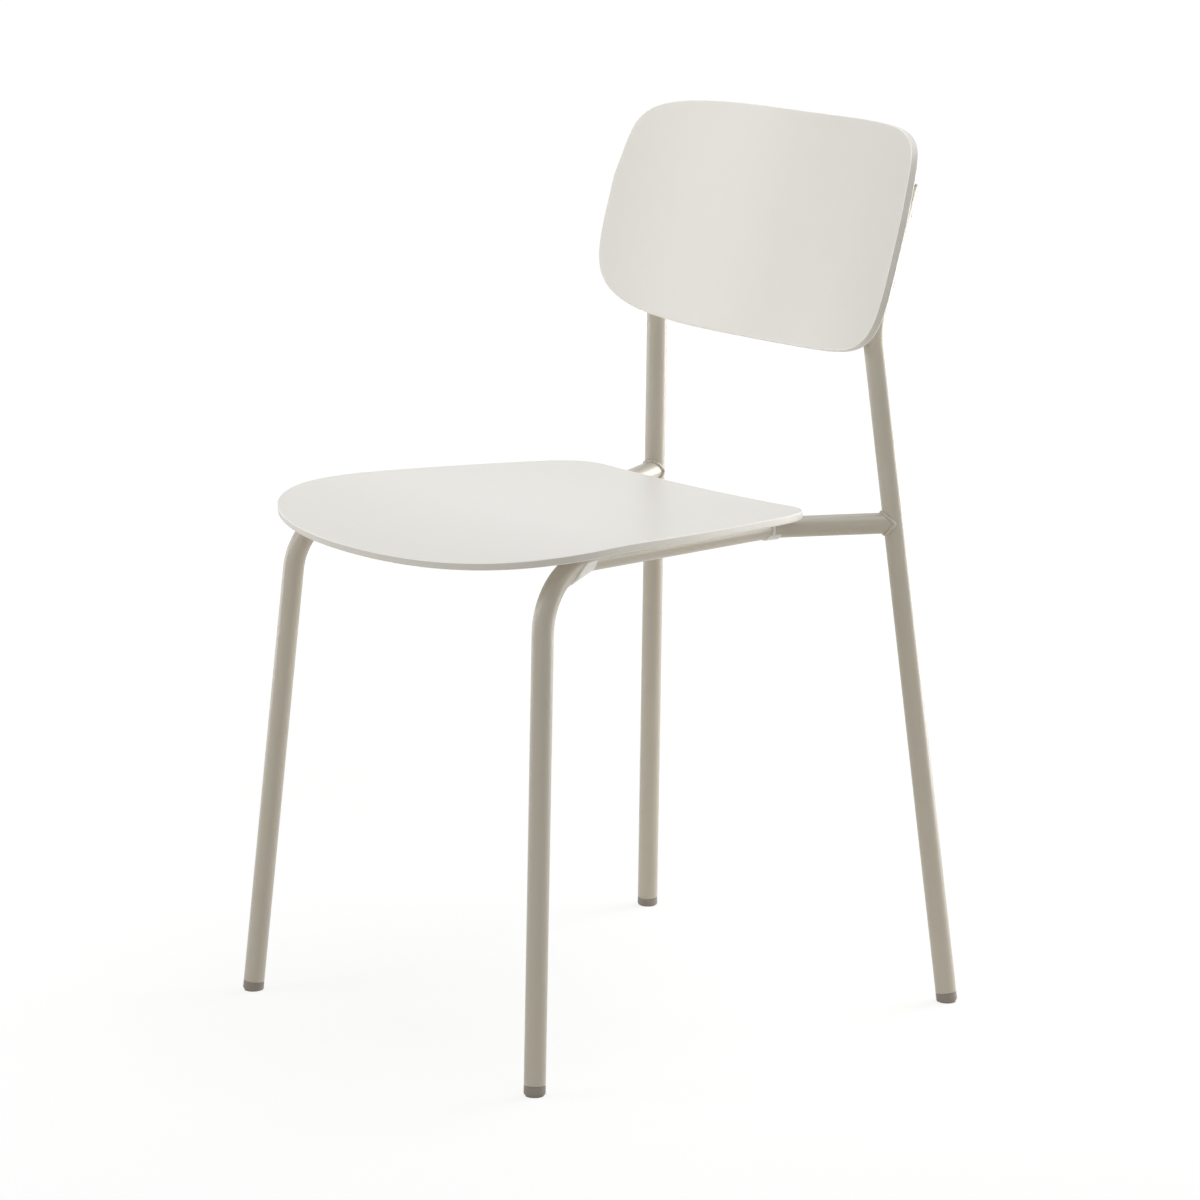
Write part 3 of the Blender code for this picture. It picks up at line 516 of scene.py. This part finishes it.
# A moulded panel. Its face is a square grid whose rim follows the outline, each inner point lying on the
# way from the middle to the rim. Its edge is a quarter round, a flat and a quarter round, as rings of
# (inset, depth), and its under side is the face's grid again, a thickness down
def makePanel(name, node, look, outline, surface):
    cells, thickness = look["cells"], look["thickness"]
    rim = evenOutline(outline, 4 * cells)
    tangent = unit(np.roll(rim, -1, axis=0) - np.roll(rim, 1, axis=0))
    outward = np.stack([tangent[:, 1], -tangent[:, 0]], axis=-1)
    ticks = np.linspace(-1, 1, cells + 1)
    v, u = np.meshgrid(ticks, ticks, indexing="ij")
    walk, reach = squareWalk(u, v) * cells / 2, np.maximum(np.abs(u), np.abs(v))[..., None]
    middle = (outline.max(axis=0) + outline.min(axis=0)) / 2

    def facePlan(inset):
        line = np.vstack([rim - outward * inset, rim[:1] - outward[:1] * inset])
        return middle + (atLength(np.arange(4.0 * cells + 1), line, walk) - middle) * reach

    quarter = np.linspace(0, math.pi / 2, look["arrisSteps"])
    top, under = look["topEdge"], look["underEdge"]
    insets = np.concatenate([top * (1 - np.sin(quarter)), under * (1 - np.sin(quarter[::-1]))])
    depths = np.concatenate([top * (1 - np.cos(quarter)), thickness - under * (1 - np.cos(quarter[::-1]))])
    flat = np.linspace(top, thickness - under, look["edgeSteps"])[1:-1]
    insets = np.insert(insets, len(quarter), np.zeros(len(flat)))[1:-1]
    depths = np.insert(depths, len(quarter), flat)[1:-1]
    depthGrid = np.broadcast_to(depths[:, None], (len(depths), len(rim)))
    rings = surface(rim - outward * insets[:, None, None], depthGrid)
    face, back = surface(facePlan(top)), surface(facePlan(under), np.full(u.shape, thickness))
    points = np.vstack([part.reshape(-1, 3) for part in (face, rings, back)])

    grid = np.arange((cells + 1) ** 2).reshape(cells + 1, cells + 1)
    quads = np.stack([grid[:-1, :-1], grid[:-1, 1:], grid[1:, 1:], grid[1:, :-1]], axis=-1).reshape(-1, 4)
    half = cells // 2
    rimIndex = np.concatenate([
        grid[0, half:], grid[1:, -1], grid[-1, -2::-1], grid[-2::-1, 0], grid[0, 1:half]])
    backStart = grid.size + rings.shape[0] * len(rim)
    ringIndex = grid.size + np.arange(rings.shape[0] * len(rim)).reshape(rings.shape[:2])
    lines = np.vstack([rimIndex, ringIndex, rimIndex + backStart])
    beside = np.roll(lines, -1, axis=1)
    sides = np.stack([lines[:-1], beside[:-1], beside[1:], lines[1:]], axis=-1)
    faces = np.vstack([quads, sides.reshape(-1, 4), quads[:, ::-1] + backStart]).tolist()
    depthShare = np.concatenate([
        np.zeros(grid.size), np.repeat(depths / thickness, len(rim)), np.ones(grid.size)])
    onEdge = np.concatenate([np.zeros(grid.size), np.ones(ringIndex.size), np.zeros(grid.size)])
    return newPiece(name, points, faces, panelLacquer, [node], sharp=60,
                    values={"edgeDepth": depthShare, "onEdge": onEdge})


def makePanels():
    makePanel("seatShell", "seat_panel", seat, seatOutline(), seatPoint)
    makePanel("backShell", "back_panel", backrest, backOutline(), backPoint)
    print("seat and back made")


frontPad = {
    "start": 0.005, "end": 0.043, "slant": 0.004, "skin": 0.0006,
    "wrapTip": 24, "wrapEnd": 104, "widening": 1.25, "facingTurn": 0.8,
    "chordStart": 0.005, "chordEnd": 0.044, "gap": 0.0001,
    "aroundPower": 8, "alongPower": 24,
}
rearPad = {
    "length": 0.016, "aheadOfKink": 0.005, "band": 0.0042, "bandAt": -0.003, "bandFade": 0.0008,
    "skin": 0.0005, "foot": 0.0007, "footTurn": 1.1, "wrap": 62, "bandWrap": 168, "gap": 0.0001,
    "aroundPower": 10, "alongPower": 16,
}
padGrid = {"along": 90, "around": 49}


# A pad on a tube: at each length along the path and each angle round it from underneath, the outer skin
# stands off the tube by a rise that fades to nothing at the pad's border, where it meets the inner skin
def makePad(name, node, path, lengths, wraps, rises, gap):
    run = runLengths(path)
    heading, across, lift = crossAxes(path, -zAxis)
    turn = np.linspace(-1, 1, padGrid["around"])
    angles = np.radians(wraps)[:, None] * turn
    centre, lifted, beside = (atLength(run, part, lengths) for part in (path, lift, across))
    direction = np.cos(angles)[..., None] * unit(lifted) + np.sin(angles)[..., None] * unit(beside)
    inner = centre + direction * (frameTube["radius"] + gap)
    outer = inner + direction * rises[..., None]
    loops = np.concatenate([outer, inner[:, -2:0:-1]], axis=1)
    faces = ringFaces(loops.shape[0], loops.shape[1], False)
    return newPiece(name, loops, faces, paints["padPlastic"], [node], sharp=60)


def roundOff(share, power):  # 1 in the middle, falling to 0 at -1 and 1: sqrt(1 - |share|^power)
    return np.sqrt(np.maximum(0, 1 - np.abs(share) ** power))


def smoothStep(x):  # 3x^2 - 2x^3, from 0 to 1
    x = np.clip(x, 0, 1)
    return x * x * (3 - 2 * x)


def makePads():
    turn = np.linspace(-1, 1, padGrid["around"])
    along = np.linspace(-1, 1, padGrid["along"])
    for side in (left, right):
        path = sideFramePath(side)
        run = runLengths(path)
        corners = sideFrameCorners(side)
        bendMiddle, kinkMiddle = (
            run[np.argmin(np.linalg.norm(path - corner, axis=1))] for corner in corners[1:3])

        # Behind the front bend the outer line is a straight chord across the inside of the bend
        look = frontPad
        share = (along + 1) / 2
        ends = look["start"] + share * (look["end"] - look["start"])
        fromBend = ends[:, None] + look["slant"] * share[:, None] ** 3 * np.abs(turn)
        inside = frameTube["frontBend"] - frameTube["radius"]
        spread = (look["chordEnd"] - look["chordStart"]) / 2 / frameTube["frontBend"]
        bent = (fromBend - (look["chordEnd"] + look["chordStart"]) / 2) / frameTube["frontBend"]
        chord = np.maximum(0, inside - inside * math.cos(spread) / np.cos(np.clip(bent, -spread, spread)))
        wraps = look["wrapTip"] + (look["wrapEnd"] - look["wrapTip"]) * smoothStep(share * look["widening"])
        facing = np.cos(np.radians(wraps)[:, None] * turn * look["facingTurn"]) ** 2
        rises = (look["skin"] + chord * facing) * roundOff(turn, look["aroundPower"])
        rises *= roundOff(along, look["alongPower"])[:, None]
        makePad(f"frontStackPad_{sideNames[side]}", f"front_pad_{sideNames[side]}", path,
                bendMiddle + fromBend, wraps, rises, look["gap"])

        # At the kink a narrow band goes round the tube and carries a small foot under it
        look = rearPad
        fromMiddle = along * look["length"] / 2
        fromKink = np.repeat((fromMiddle - look["aheadOfKink"])[:, None], len(turn), axis=1)
        fade = look["bandFade"]
        onBand = smoothStep((look["band"] / 2 + fade / 2 - np.abs(fromMiddle - look["bandAt"])) / fade)
        wraps = look["wrap"] + (look["bandWrap"] - look["wrap"]) * onBand
        angle = np.radians(wraps)[:, None] * turn
        foot = look["foot"] * smoothStep(1 - np.abs(angle) / look["footTurn"])
        rises = (look["skin"] + foot) * roundOff(turn, look["aroundPower"])
        rises *= roundOff(along, look["alongPower"])[:, None]
        makePad(f"rearStackPad_{sideNames[side]}", f"rear_pad_{sideNames[side]}", path,
                kinkMiddle + fromKink, wraps, rises, look["gap"])
    print("stacking pads made")


weld = {"radius": 0.0016, "around": 0.0004, "against": 0.0006, "ripple": 0.0019, "rippleDepth": 0.16,
        "swell": 0.10, "swellTurn": 0.6, "steps": 320, "sides": 16}


def railLine(side):  # a point on the straight rail's centre line, and its heading
    _, front, kinkPoint, _ = sideFrameCorners(side)
    return front, unit(kinkPoint - front)


def barMiddle(name):
    low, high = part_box(f"{name}_crossbar")
    return np.array((0, (low.y + high.y) / 2, (low.z + high.z) / 2))


def makeCrossbars():
    reach = frameTube["radius"] + frameTube["touch"]
    for name in ("front", "rear"):
        middle, halfLength = barMiddle(name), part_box(f"{name}_crossbar")[1].x
        path = straightRun(middle - xAxis * halfLength, middle + xAxis * halfLength, crossbar["step"])
        outer, inner = tubeShell(path, crossbar, zAxis)
        for skin in (outer, inner):  # both mouths fit the rails
            for end, side in ((0, right), (-1, left)):
                skin[end] = meetTube(skin[end], xAxis * side, *railLine(side), reach)
        ringPiece(f"crossBar_{name}", np.vstack([outer, inner[::-1]]), framePaint,
                  [f"{name}_crossbar"], loop=True)
    print("cross bars made")


# A bead round the joint of two tubes. Its middle line is where a slightly wider copy of the incoming tube
# meets a slightly wider copy of the other one, and its section is a circle that swells with each ripple:
# radius (1 + depth (|sin(pi run / ripple)| - 1/2) + swell sin(2 turn + swellTurn))
def makeBead(name, node, start, heading, radius, axisPoint, axis):
    look = weld
    turn = np.linspace(0, 2 * math.pi, look["steps"], endpoint=False)
    beside = unit(np.cross(axis, heading))
    above = np.cross(heading, beside)
    outward = np.cos(turn)[:, None] * beside + np.sin(turn)[:, None] * above
    line = meetTube(start + outward * (radius + look["around"]), heading, axisPoint, axis,
                    frameTube["radius"] + look["against"])
    run = runLengths(np.vstack([line, line[:1]]))
    ripples = round(run[-1] / look["ripple"])
    wave = np.abs(np.sin(math.pi * ripples * run[:-1] / run[-1])) - 0.5
    swelling = look["swell"] * np.sin(2 * turn + look["swellTurn"])
    thick = look["radius"] * (1 + look["rippleDepth"] * wave + swelling)
    along = unit(np.roll(line, -1, axis=0) - np.roll(line, 1, axis=0))
    outward = unit(outward - along * (outward * along).sum(axis=1, keepdims=True))
    cosines, sines = circle(look["sides"])
    section = cosines * outward[:, None] + sines * np.cross(along, outward)[:, None]
    rings = line[:, None] + thick[:, None, None] * section
    ringPiece(name, rings, framePaint, [node], loop=True, sharp=60)


def makeWelds():
    for side in (left, right):
        name = sideNames[side]
        foot, bend, _ = uprightCorners(side)
        kinkPoint, end = sideFrameCorners(side)[2:]
        makeBead(f"railBead_{name}", f"rail_weld_{name}", kinkPoint, unit(end - kinkPoint),
                 frameTube["radius"], foot, unit(bend - foot))
        for bar in ("front", "rear"):
            makeBead(f"{bar}BarBead_{name}", f"{bar}_bar_weld_{name}", barMiddle(bar), xAxis * side,
                     crossbar["radius"], *railLine(side))
    print("weld beads made")


quarterTurn = np.linspace(0, math.pi / 2, 7)
stemGap = 0.0002
boreRadius = frameTube["radius"] - frameTube["wall"] - stemGap
glide = {"height": 0.009, "chamfer": 0.0015, "tread": 0.0008, "topEdge": 0.0003, "stem": 0.014, "sides": 64}
tubeCap = {"seam": 0.0003, "height": 0.0015, "edge": 0.0006, "stem": 0.008, "sides": 64}


# A glide is turned about its leg: a tread, a rounded chamfer, the wall, and the stem in the tube. What
# would reach below the floor slides up the leg to it, so the tread lies flat
def makeGlide(name, node, foot, leg):
    look, radius = glide, frameTube["radius"]
    tread, top, edge = radius - look["chamfer"], look["height"], look["topEdge"]
    radii = np.concatenate([
        [tread / 3, tread], tread + look["chamfer"] * np.sin(quarterTurn),
        radius - edge + edge * np.cos(quarterTurn), [boreRadius, boreRadius]])
    heights = np.concatenate([
        [-radius, -radius], look["tread"] + look["chamfer"] * (1 - np.cos(quarterTurn)),
        top - edge + edge * np.sin(quarterTurn), [top, top + look["stem"]]])
    rings = turnedRings(foot, leg, radii, heights, look["sides"])
    rings += np.maximum(0, -rings[..., 2:]) / leg[2] * leg
    ringPiece(name, rings, paints["glidePlastic"], [node])


# A cap is turned about the upright's end: the stem in the tube, a thin seam, and a round-edged lid
def makeCap(name, node, top, heading):
    look, radius = tubeCap, frameTube["radius"]
    crown, edge = look["seam"] + look["height"], look["edge"]
    radii = np.concatenate([[boreRadius, boreRadius, radius - edge / 3, radius],
                            radius - edge + edge * np.cos(quarterTurn), [boreRadius / 2]])
    heights = np.concatenate([[-look["stem"], look["seam"], look["seam"], look["seam"] + edge / 3],
                              crown - edge + edge * np.sin(quarterTurn), [crown]])
    rings = turnedRings(top, heading, radii, heights, look["sides"])
    ringPiece(name, rings, paints["capPlastic"], [node])


def makeEnds():
    for side in (left, right):
        name = sideNames[side]
        foot, corner = sideFrameCorners(side)[:2]
        makeGlide(f"frontGlide_{name}", f"front_glide_{name}", foot, unit(corner - foot))
        foot, bend, top = uprightCorners(side)
        makeGlide(f"rearGlide_{name}", f"rear_glide_{name}", foot, unit(bend - foot))
        makeCap(f"tubeCap_{name}", f"tube_cap_{name}", top, unit(top - bend))
    print("glides and caps made")


seatFixing = {"x": 0.095, "fromBar": 0.016, "plateGap": 0.0007, "underHead": 0.0003}
plate = {"thickness": 0.0025, "width": 0.022, "back": 0.008, "forward": 0.026, "squareness": 9,
         "edge": 0.0004, "arcSteps": 4, "hole": 0.0028, "sides": 96}
screw = {"radius": 0.0024, "head": 0.0046, "headHeight": 0.0028, "crown": 0.0033, "crownFall": 0.0017,
         "key": 0.0015, "keyDepth": 0.0015, "keyFloor": 0.2, "keyCone": 1.2, "keyMouth": 1.12,
         "bevel": 0.0002, "underShare": 0.97, "tip": 0.0006, "tipShare": 0.75, "reach": 0.0043, "sides": 48}


# A plate lies between a round hole and a squarish outline |x/a|^p + |y/b|^p = 1, each drawn in by the
# rounding of its edges
def makePlate(name, node, x, barY):
    look = plate
    plan = np.array((x, barY + (look["back"] - look["forward"]) / 2))
    up = seatUp(plan)
    across = unit(xAxis - up * up[0])
    forward = np.cross(up, across)
    half = look["thickness"] / 2
    middle = seatPoint(plan, seat["thickness"] + seatFixing["plateGap"] + half)
    holeAt = -seatFixing["fromBar"] - (look["back"] - look["forward"]) / 2
    cosines, sines = (part[:, 0] for part in circle(look["sides"]))
    edge, arc = look["edge"], np.linspace(0, math.pi / 2, look["arcSteps"])
    insets = np.concatenate([edge * (1 - np.sin(arc)), edge * (1 - np.cos(arc))])[:, None]
    heights = np.concatenate([-half + edge * (1 - np.cos(arc)), half - edge * (1 - np.sin(arc))])
    power = look["squareness"]
    sizes = look["width"] / 2 - insets, (look["back"] + look["forward"]) / 2 - insets
    reach = (np.abs(cosines / sizes[0]) ** power + np.abs(sines / sizes[1]) ** power) ** (-1 / power)
    hole = look["hole"] + insets[::-1]
    flat = np.concatenate([np.stack([cosines * reach, sines * reach], axis=-1),
                           np.stack([cosines * hole, sines * hole + holeAt], axis=-1)])
    heights = np.concatenate([heights, heights[::-1]])
    rings = middle + flat[..., :1] * across + flat[..., 1:] * forward + heights[:, None, None] * up
    ringPiece(name, rings, framePaint, [node], loop=True)


# A button-head screw, turned about its axis, with a hexagonal recess: a hexagon's radius is its key's half
# width over the cosine of the angle from the nearest flat's middle
def makeScrew(name, node, origin, up):
    look = screw
    turn = np.linspace(0, 2 * math.pi, look["sides"], endpoint=False)
    hexagon = look["key"] / np.cos((turn + math.pi / 6) % (math.pi / 3) - math.pi / 6)
    under = -seatFixing["plateGap"] - plate["thickness"] - seatFixing["underHead"]
    crown = under - look["headHeight"]
    shoulder = look["crown"] + (look["head"] - look["crown"]) * np.sin(quarterTurn)
    slope = crown + look["crownFall"] * (1 - np.cos(quarterTurn))
    shank, tipStart = look["radius"], look["reach"] - look["tip"]
    keyEnd, rim = crown + look["keyDepth"], look["bevel"]
    radii = [hexagon * look["keyFloor"], hexagon, hexagon, hexagon * look["keyMouth"], *shoulder,
             look["head"], look["head"] * look["underShare"], shank, shank, shank * look["tipShare"]]
    heights = [crown + look["keyDepth"] * look["keyCone"], keyEnd, crown + rim, crown, *slope,
               under - rim, under, under, tipStart, look["reach"]]
    rings = turnedRings(origin, up, radii, heights, look["sides"])
    ringPiece(name, rings, paints["zincPlate"], [node])


def makeSeatFixings():
    for bar in ("front", "rear"):
        barY = barMiddle(bar)[1]
        for side in (left, right):
            name, x = f"{bar}_{sideNames[side]}", side * seatFixing["x"]
            plan = np.array((x, barY - seatFixing["fromBar"]))
            makePlate(f"fixingPlate_{name}", f"fixing_plate_{name}", x, barY)
            underSeat = seatPoint(plan, seat["thickness"])
            makeScrew(f"seatScrew_{name}", f"seat_screw_{name}", underSeat, seatUp(plan))
    print("seat fixings made")


backFixing = {"drops": (0.089, 0.025), "saddle": 0.008, "saddleEdge": 0.0005, "plug": 0.0052,
              "plugEdge": 0.0004, "plugRise": 0.0003, "plugDepth": 0.0028, "sides": 48}


# The saddles run from the panel's rear face to the tube, and the plugs follow the tube's far side. Both are
# rings about the line of their screw, slid along it to the tube
def makeBackFixings():
    look = backFixing
    for side in (left, right):
        _, bend, top = uprightCorners(side)
        axis = unit(top - bend)
        for number, drop in enumerate(look["drops"], 1):
            name = f"{sideNames[side]}_{number}"
            centre = top - axis * drop
            away = centre - backAxis
            out = unit(away - backUp * (away @ backUp))
            face = centre - out * (away @ out - backrest["radius"] - backrest["thickness"])
            size, edge = look["saddle"], look["saddleEdge"]
            radii = np.concatenate([
                [size / 2], size - edge + edge * np.sin(quarterTurn), [size, size / 2, size / 8]])
            heights = np.concatenate([[0], edge * (1 - np.cos(quarterTurn)), [edge] * 3]) + frameTube["touch"]
            rings = turnedRings(face, out, radii, heights, look["sides"])
            rings[-3:] = meetTube(rings[-3:], out, centre, axis, frameTube["radius"] + frameTube["touch"])
            ringPiece(f"backSaddle_{name}", rings, paints["padPlastic"],
                      [f"back_spacer_{name}"])

            size, edge = look["plug"], look["plugEdge"]
            radii = np.concatenate([[size / 8, size / 2], size - edge + edge * np.sin(quarterTurn), [size]])
            sinks = np.concatenate([[0, 0], edge * (1 - np.cos(quarterTurn)), [look["plugDepth"]]])
            rings = turnedRings(centre, out, radii, np.zeros(len(radii)), look["sides"])
            crown = frameTube["radius"] + look["plugRise"]
            rings = np.stack([
                meetTube(ring, -out, centre, axis, crown - sink) for ring, sink in zip(rings, sinks)])
            ringPiece(f"backPlug_{name}", rings, paints["capPlastic"], [f"back_plug_{name}"])
    print("back fixings made")


cameraLook = {"azimuth": 51.385, "elevation": 11.803, "target": (0.0611, -0.0414, 0.3842),
              "distance": 4.6527, "lens": 157.7, "sensor": 36.0}

# Places are out from the chair: to the camera's right, towards the camera, and up
lamps = {
    "leftKey": {"place": (-1.9, 0.35, 1.5), "aim": 0.45, "width": 1.2, "height": 1.2, "power": 14.0,
                "colour": (1, 1, 1)},
    "leftRim": {"place": (-1.9, -0.9, 0.45), "aim": 0.40, "width": 1.0, "height": 1.0, "power": 8.0,
                "colour": (1, 1, 1)},
    "rightRim": {"place": (1.9, -1.0, 0.45), "aim": 0.30, "width": 1.8, "height": 1.4, "power": 50.0,
                 "colour": (1, 1, 0.985)},
    "overBehind": {"place": (0.7, -0.9, 2.4), "aim": 0.60, "width": 1.4, "height": 1.4, "power": 9.0,
                   "colour": (1, 1, 1)},
    "overhead": {"place": (0.5, 0.25, 2.6), "aim": 0.45, "width": 1.6, "height": 1.6, "power": 19.0,
                 "colour": (1, 1, 1)},
}
# The studio glows in front of the chair, less behind it, and is dark at its sides
worldLook = {"glow": 1.14, "behind": 0.35, "colour": (1.0, 0.985, 0.95), "shown": (1.0, 1.0, 1.0)}
floorLook = {"half": 30.0, "bounce": (0.84, 0.80, 0.72), "near": 0.80, "far": 1.0,
             "nearTo": 0.7, "farFrom": 3.0, "shade": 0.24}


def viewAxes(look):
    azimuth, elevation = math.radians(look["azimuth"]), math.radians(look["elevation"])
    back = Vector((math.sin(azimuth) * math.cos(elevation), -math.cos(azimuth) * math.cos(elevation),
                   math.sin(elevation)))
    rightWay = Vector((math.cos(azimuth), math.sin(azimuth), 0))
    return rightWay, back.cross(rightWay), back


def placeCamera(look):
    data = bpy.data.cameras.new("camera")
    data.lens, data.sensor_width = look["lens"], look["sensor"]
    camera = bpy.data.objects.new("camera", data)
    rightWay, upWay, back = viewAxes(look)
    turn = Matrix((rightWay, upWay, back)).transposed().to_4x4()
    camera.matrix_world = Matrix.Translation(Vector(look["target"]) + back * look["distance"]) @ turn
    bpy.context.scene.collection.objects.link(camera)
    bpy.context.scene.camera = camera
    print("camera placed")


def placeLamps():
    rightWay, _, back = viewAxes(cameraLook)
    towards = Vector((back.x, back.y, 0)).normalized()
    for name, look in lamps.items():
        data = bpy.data.lights.new(name, "AREA")
        data.shape, data.size, data.size_y = "RECTANGLE", look["width"], look["height"]
        data.energy, data.color = look["power"], look["colour"]
        lamp = bpy.data.objects.new(name, data)
        sideways, nearer, up = look["place"]
        lamp.location = rightWay * sideways + towards * nearer + Vector((0, 0, up))
        aim = Vector((0, 0, look["aim"]))
        lamp.rotation_euler = (lamp.location - aim).to_track_quat("Z", "Y").to_euler()
        bpy.context.scene.collection.objects.link(lamp)
    print("lamps placed:", ", ".join(lamps))


def seenRays(tree):  # 1 for rays from the camera, and for mirrored and transmitted ones
    path = put(tree, "ShaderNodeLightPath").outputs
    some = arithmetic(tree, "MAXIMUM", path["Is Camera Ray"], path["Is Glossy Ray"])
    return arithmetic(tree, "MAXIMUM", some, path["Is Transmission Ray"])


# The glow's strength is the square of a direction's part along the line of sight, and weaker behind the chair
def lightWorld(look):
    world = bpy.data.worlds.new("studio")
    world.use_nodes = True
    tree = world.node_tree
    tree.nodes.clear()
    back = viewAxes(cameraLook)[2]
    way = put(tree, "ShaderNodeTexCoord").outputs["Generated"]
    part = put(tree, "ShaderNodeVectorMath", {
        0: way, 1: Vector((back.x, back.y, 0)).normalized()}, operation="DOT_PRODUCT").outputs["Value"]
    inFront = arithmetic(tree, "GREATER_THAN", part, 0.0)
    level = put(tree, "ShaderNodeMapRange", {
        "Value": inFront, "To Min": look["glow"] * look["behind"], "To Max": look["glow"]}).outputs["Result"]
    strength = arithmetic(tree, "MULTIPLY", arithmetic(tree, "MULTIPLY", part, part), level)
    glow = put(tree, "ShaderNodeBackground", {"Color": (*look["colour"], 1), "Strength": strength})
    shown = put(tree, "ShaderNodeBackground", {"Color": (*look["shown"], 1)})
    mixed = put(tree, "ShaderNodeMixShader", {0: seenRays(tree), 1: glow.outputs[0], 2: shown.outputs[0]})
    put(tree, "ShaderNodeOutputWorld", {"Surface": mixed.outputs[0]})
    bpy.context.scene.world = world


# The floor is plain and pale. What is seen of it glows near white and keeps a soft shadow
def makeFloor(look):
    made = bpy.data.materials.new("paleFloor")
    made.use_nodes = True
    tree = made.node_tree
    tree.nodes.clear()
    place = put(tree, "ShaderNodeTexCoord").outputs["Object"]
    away = put(tree, "ShaderNodeVectorMath", {0: place}, operation="LENGTH").outputs["Value"]
    strength = put(tree, "ShaderNodeMapRange", {
        "Value": away, "From Min": look["nearTo"], "From Max": look["farFrom"],
        "To Min": look["near"], "To Max": look["far"]}, interpolation_type="SMOOTHSTEP").outputs["Result"]
    glow = put(tree, "ShaderNodeEmission", {"Strength": strength}).outputs[0]
    shade = put(tree, "ShaderNodeBsdfDiffuse", {"Color": (look["shade"],) * 3 + (1,)}).outputs[0]
    shownFloor = put(tree, "ShaderNodeAddShader", {0: glow, 1: shade}).outputs[0]
    bounced = put(tree, "ShaderNodeBsdfDiffuse", {"Color": (*look["bounce"], 1)}).outputs[0]
    mixed = put(tree, "ShaderNodeMixShader", {0: seenRays(tree), 1: bounced, 2: shownFloor}).outputs[0]
    put(tree, "ShaderNodeOutputMaterial", {"Surface": mixed})
    half = look["half"]
    mesh = bpy.data.meshes.new("floor")
    corners = [(-half, -half, 0), (half, -half, 0), (half, half, 0), (-half, half, 0)]
    mesh.from_pydata(corners, [], [(0, 1, 2, 3)])
    mesh.materials.append(made)
    floor = bpy.data.objects.new("floor", mesh)
    bpy.context.scene.collection.objects.link(floor)
    print("floor laid")


placeCamera(cameraLook)
placeLamps()
lightWorld(worldLook)
makeFloor(floorLook)
makeTubes()
makeCrossbars()
makeWelds()
makeEnds()
makePanels()
makePads()
makeSeatFixings()
makeBackFixings()

slotFinishes = {"frame_paint": "framePaint", "panel_lacquer": "panelLacquer", "cap_plastic": "capPlastic",
                "glide_plastic": "glidePlastic", "pad_plastic": "padPlastic", "zinc_plate": "zincPlate"}
for part in frame["record"]["subparts"]:
    node = nodes[part["node"]]
    for place in node.material_slots:
        place.material = paints[slotFinishes[part["material_slot"]]]
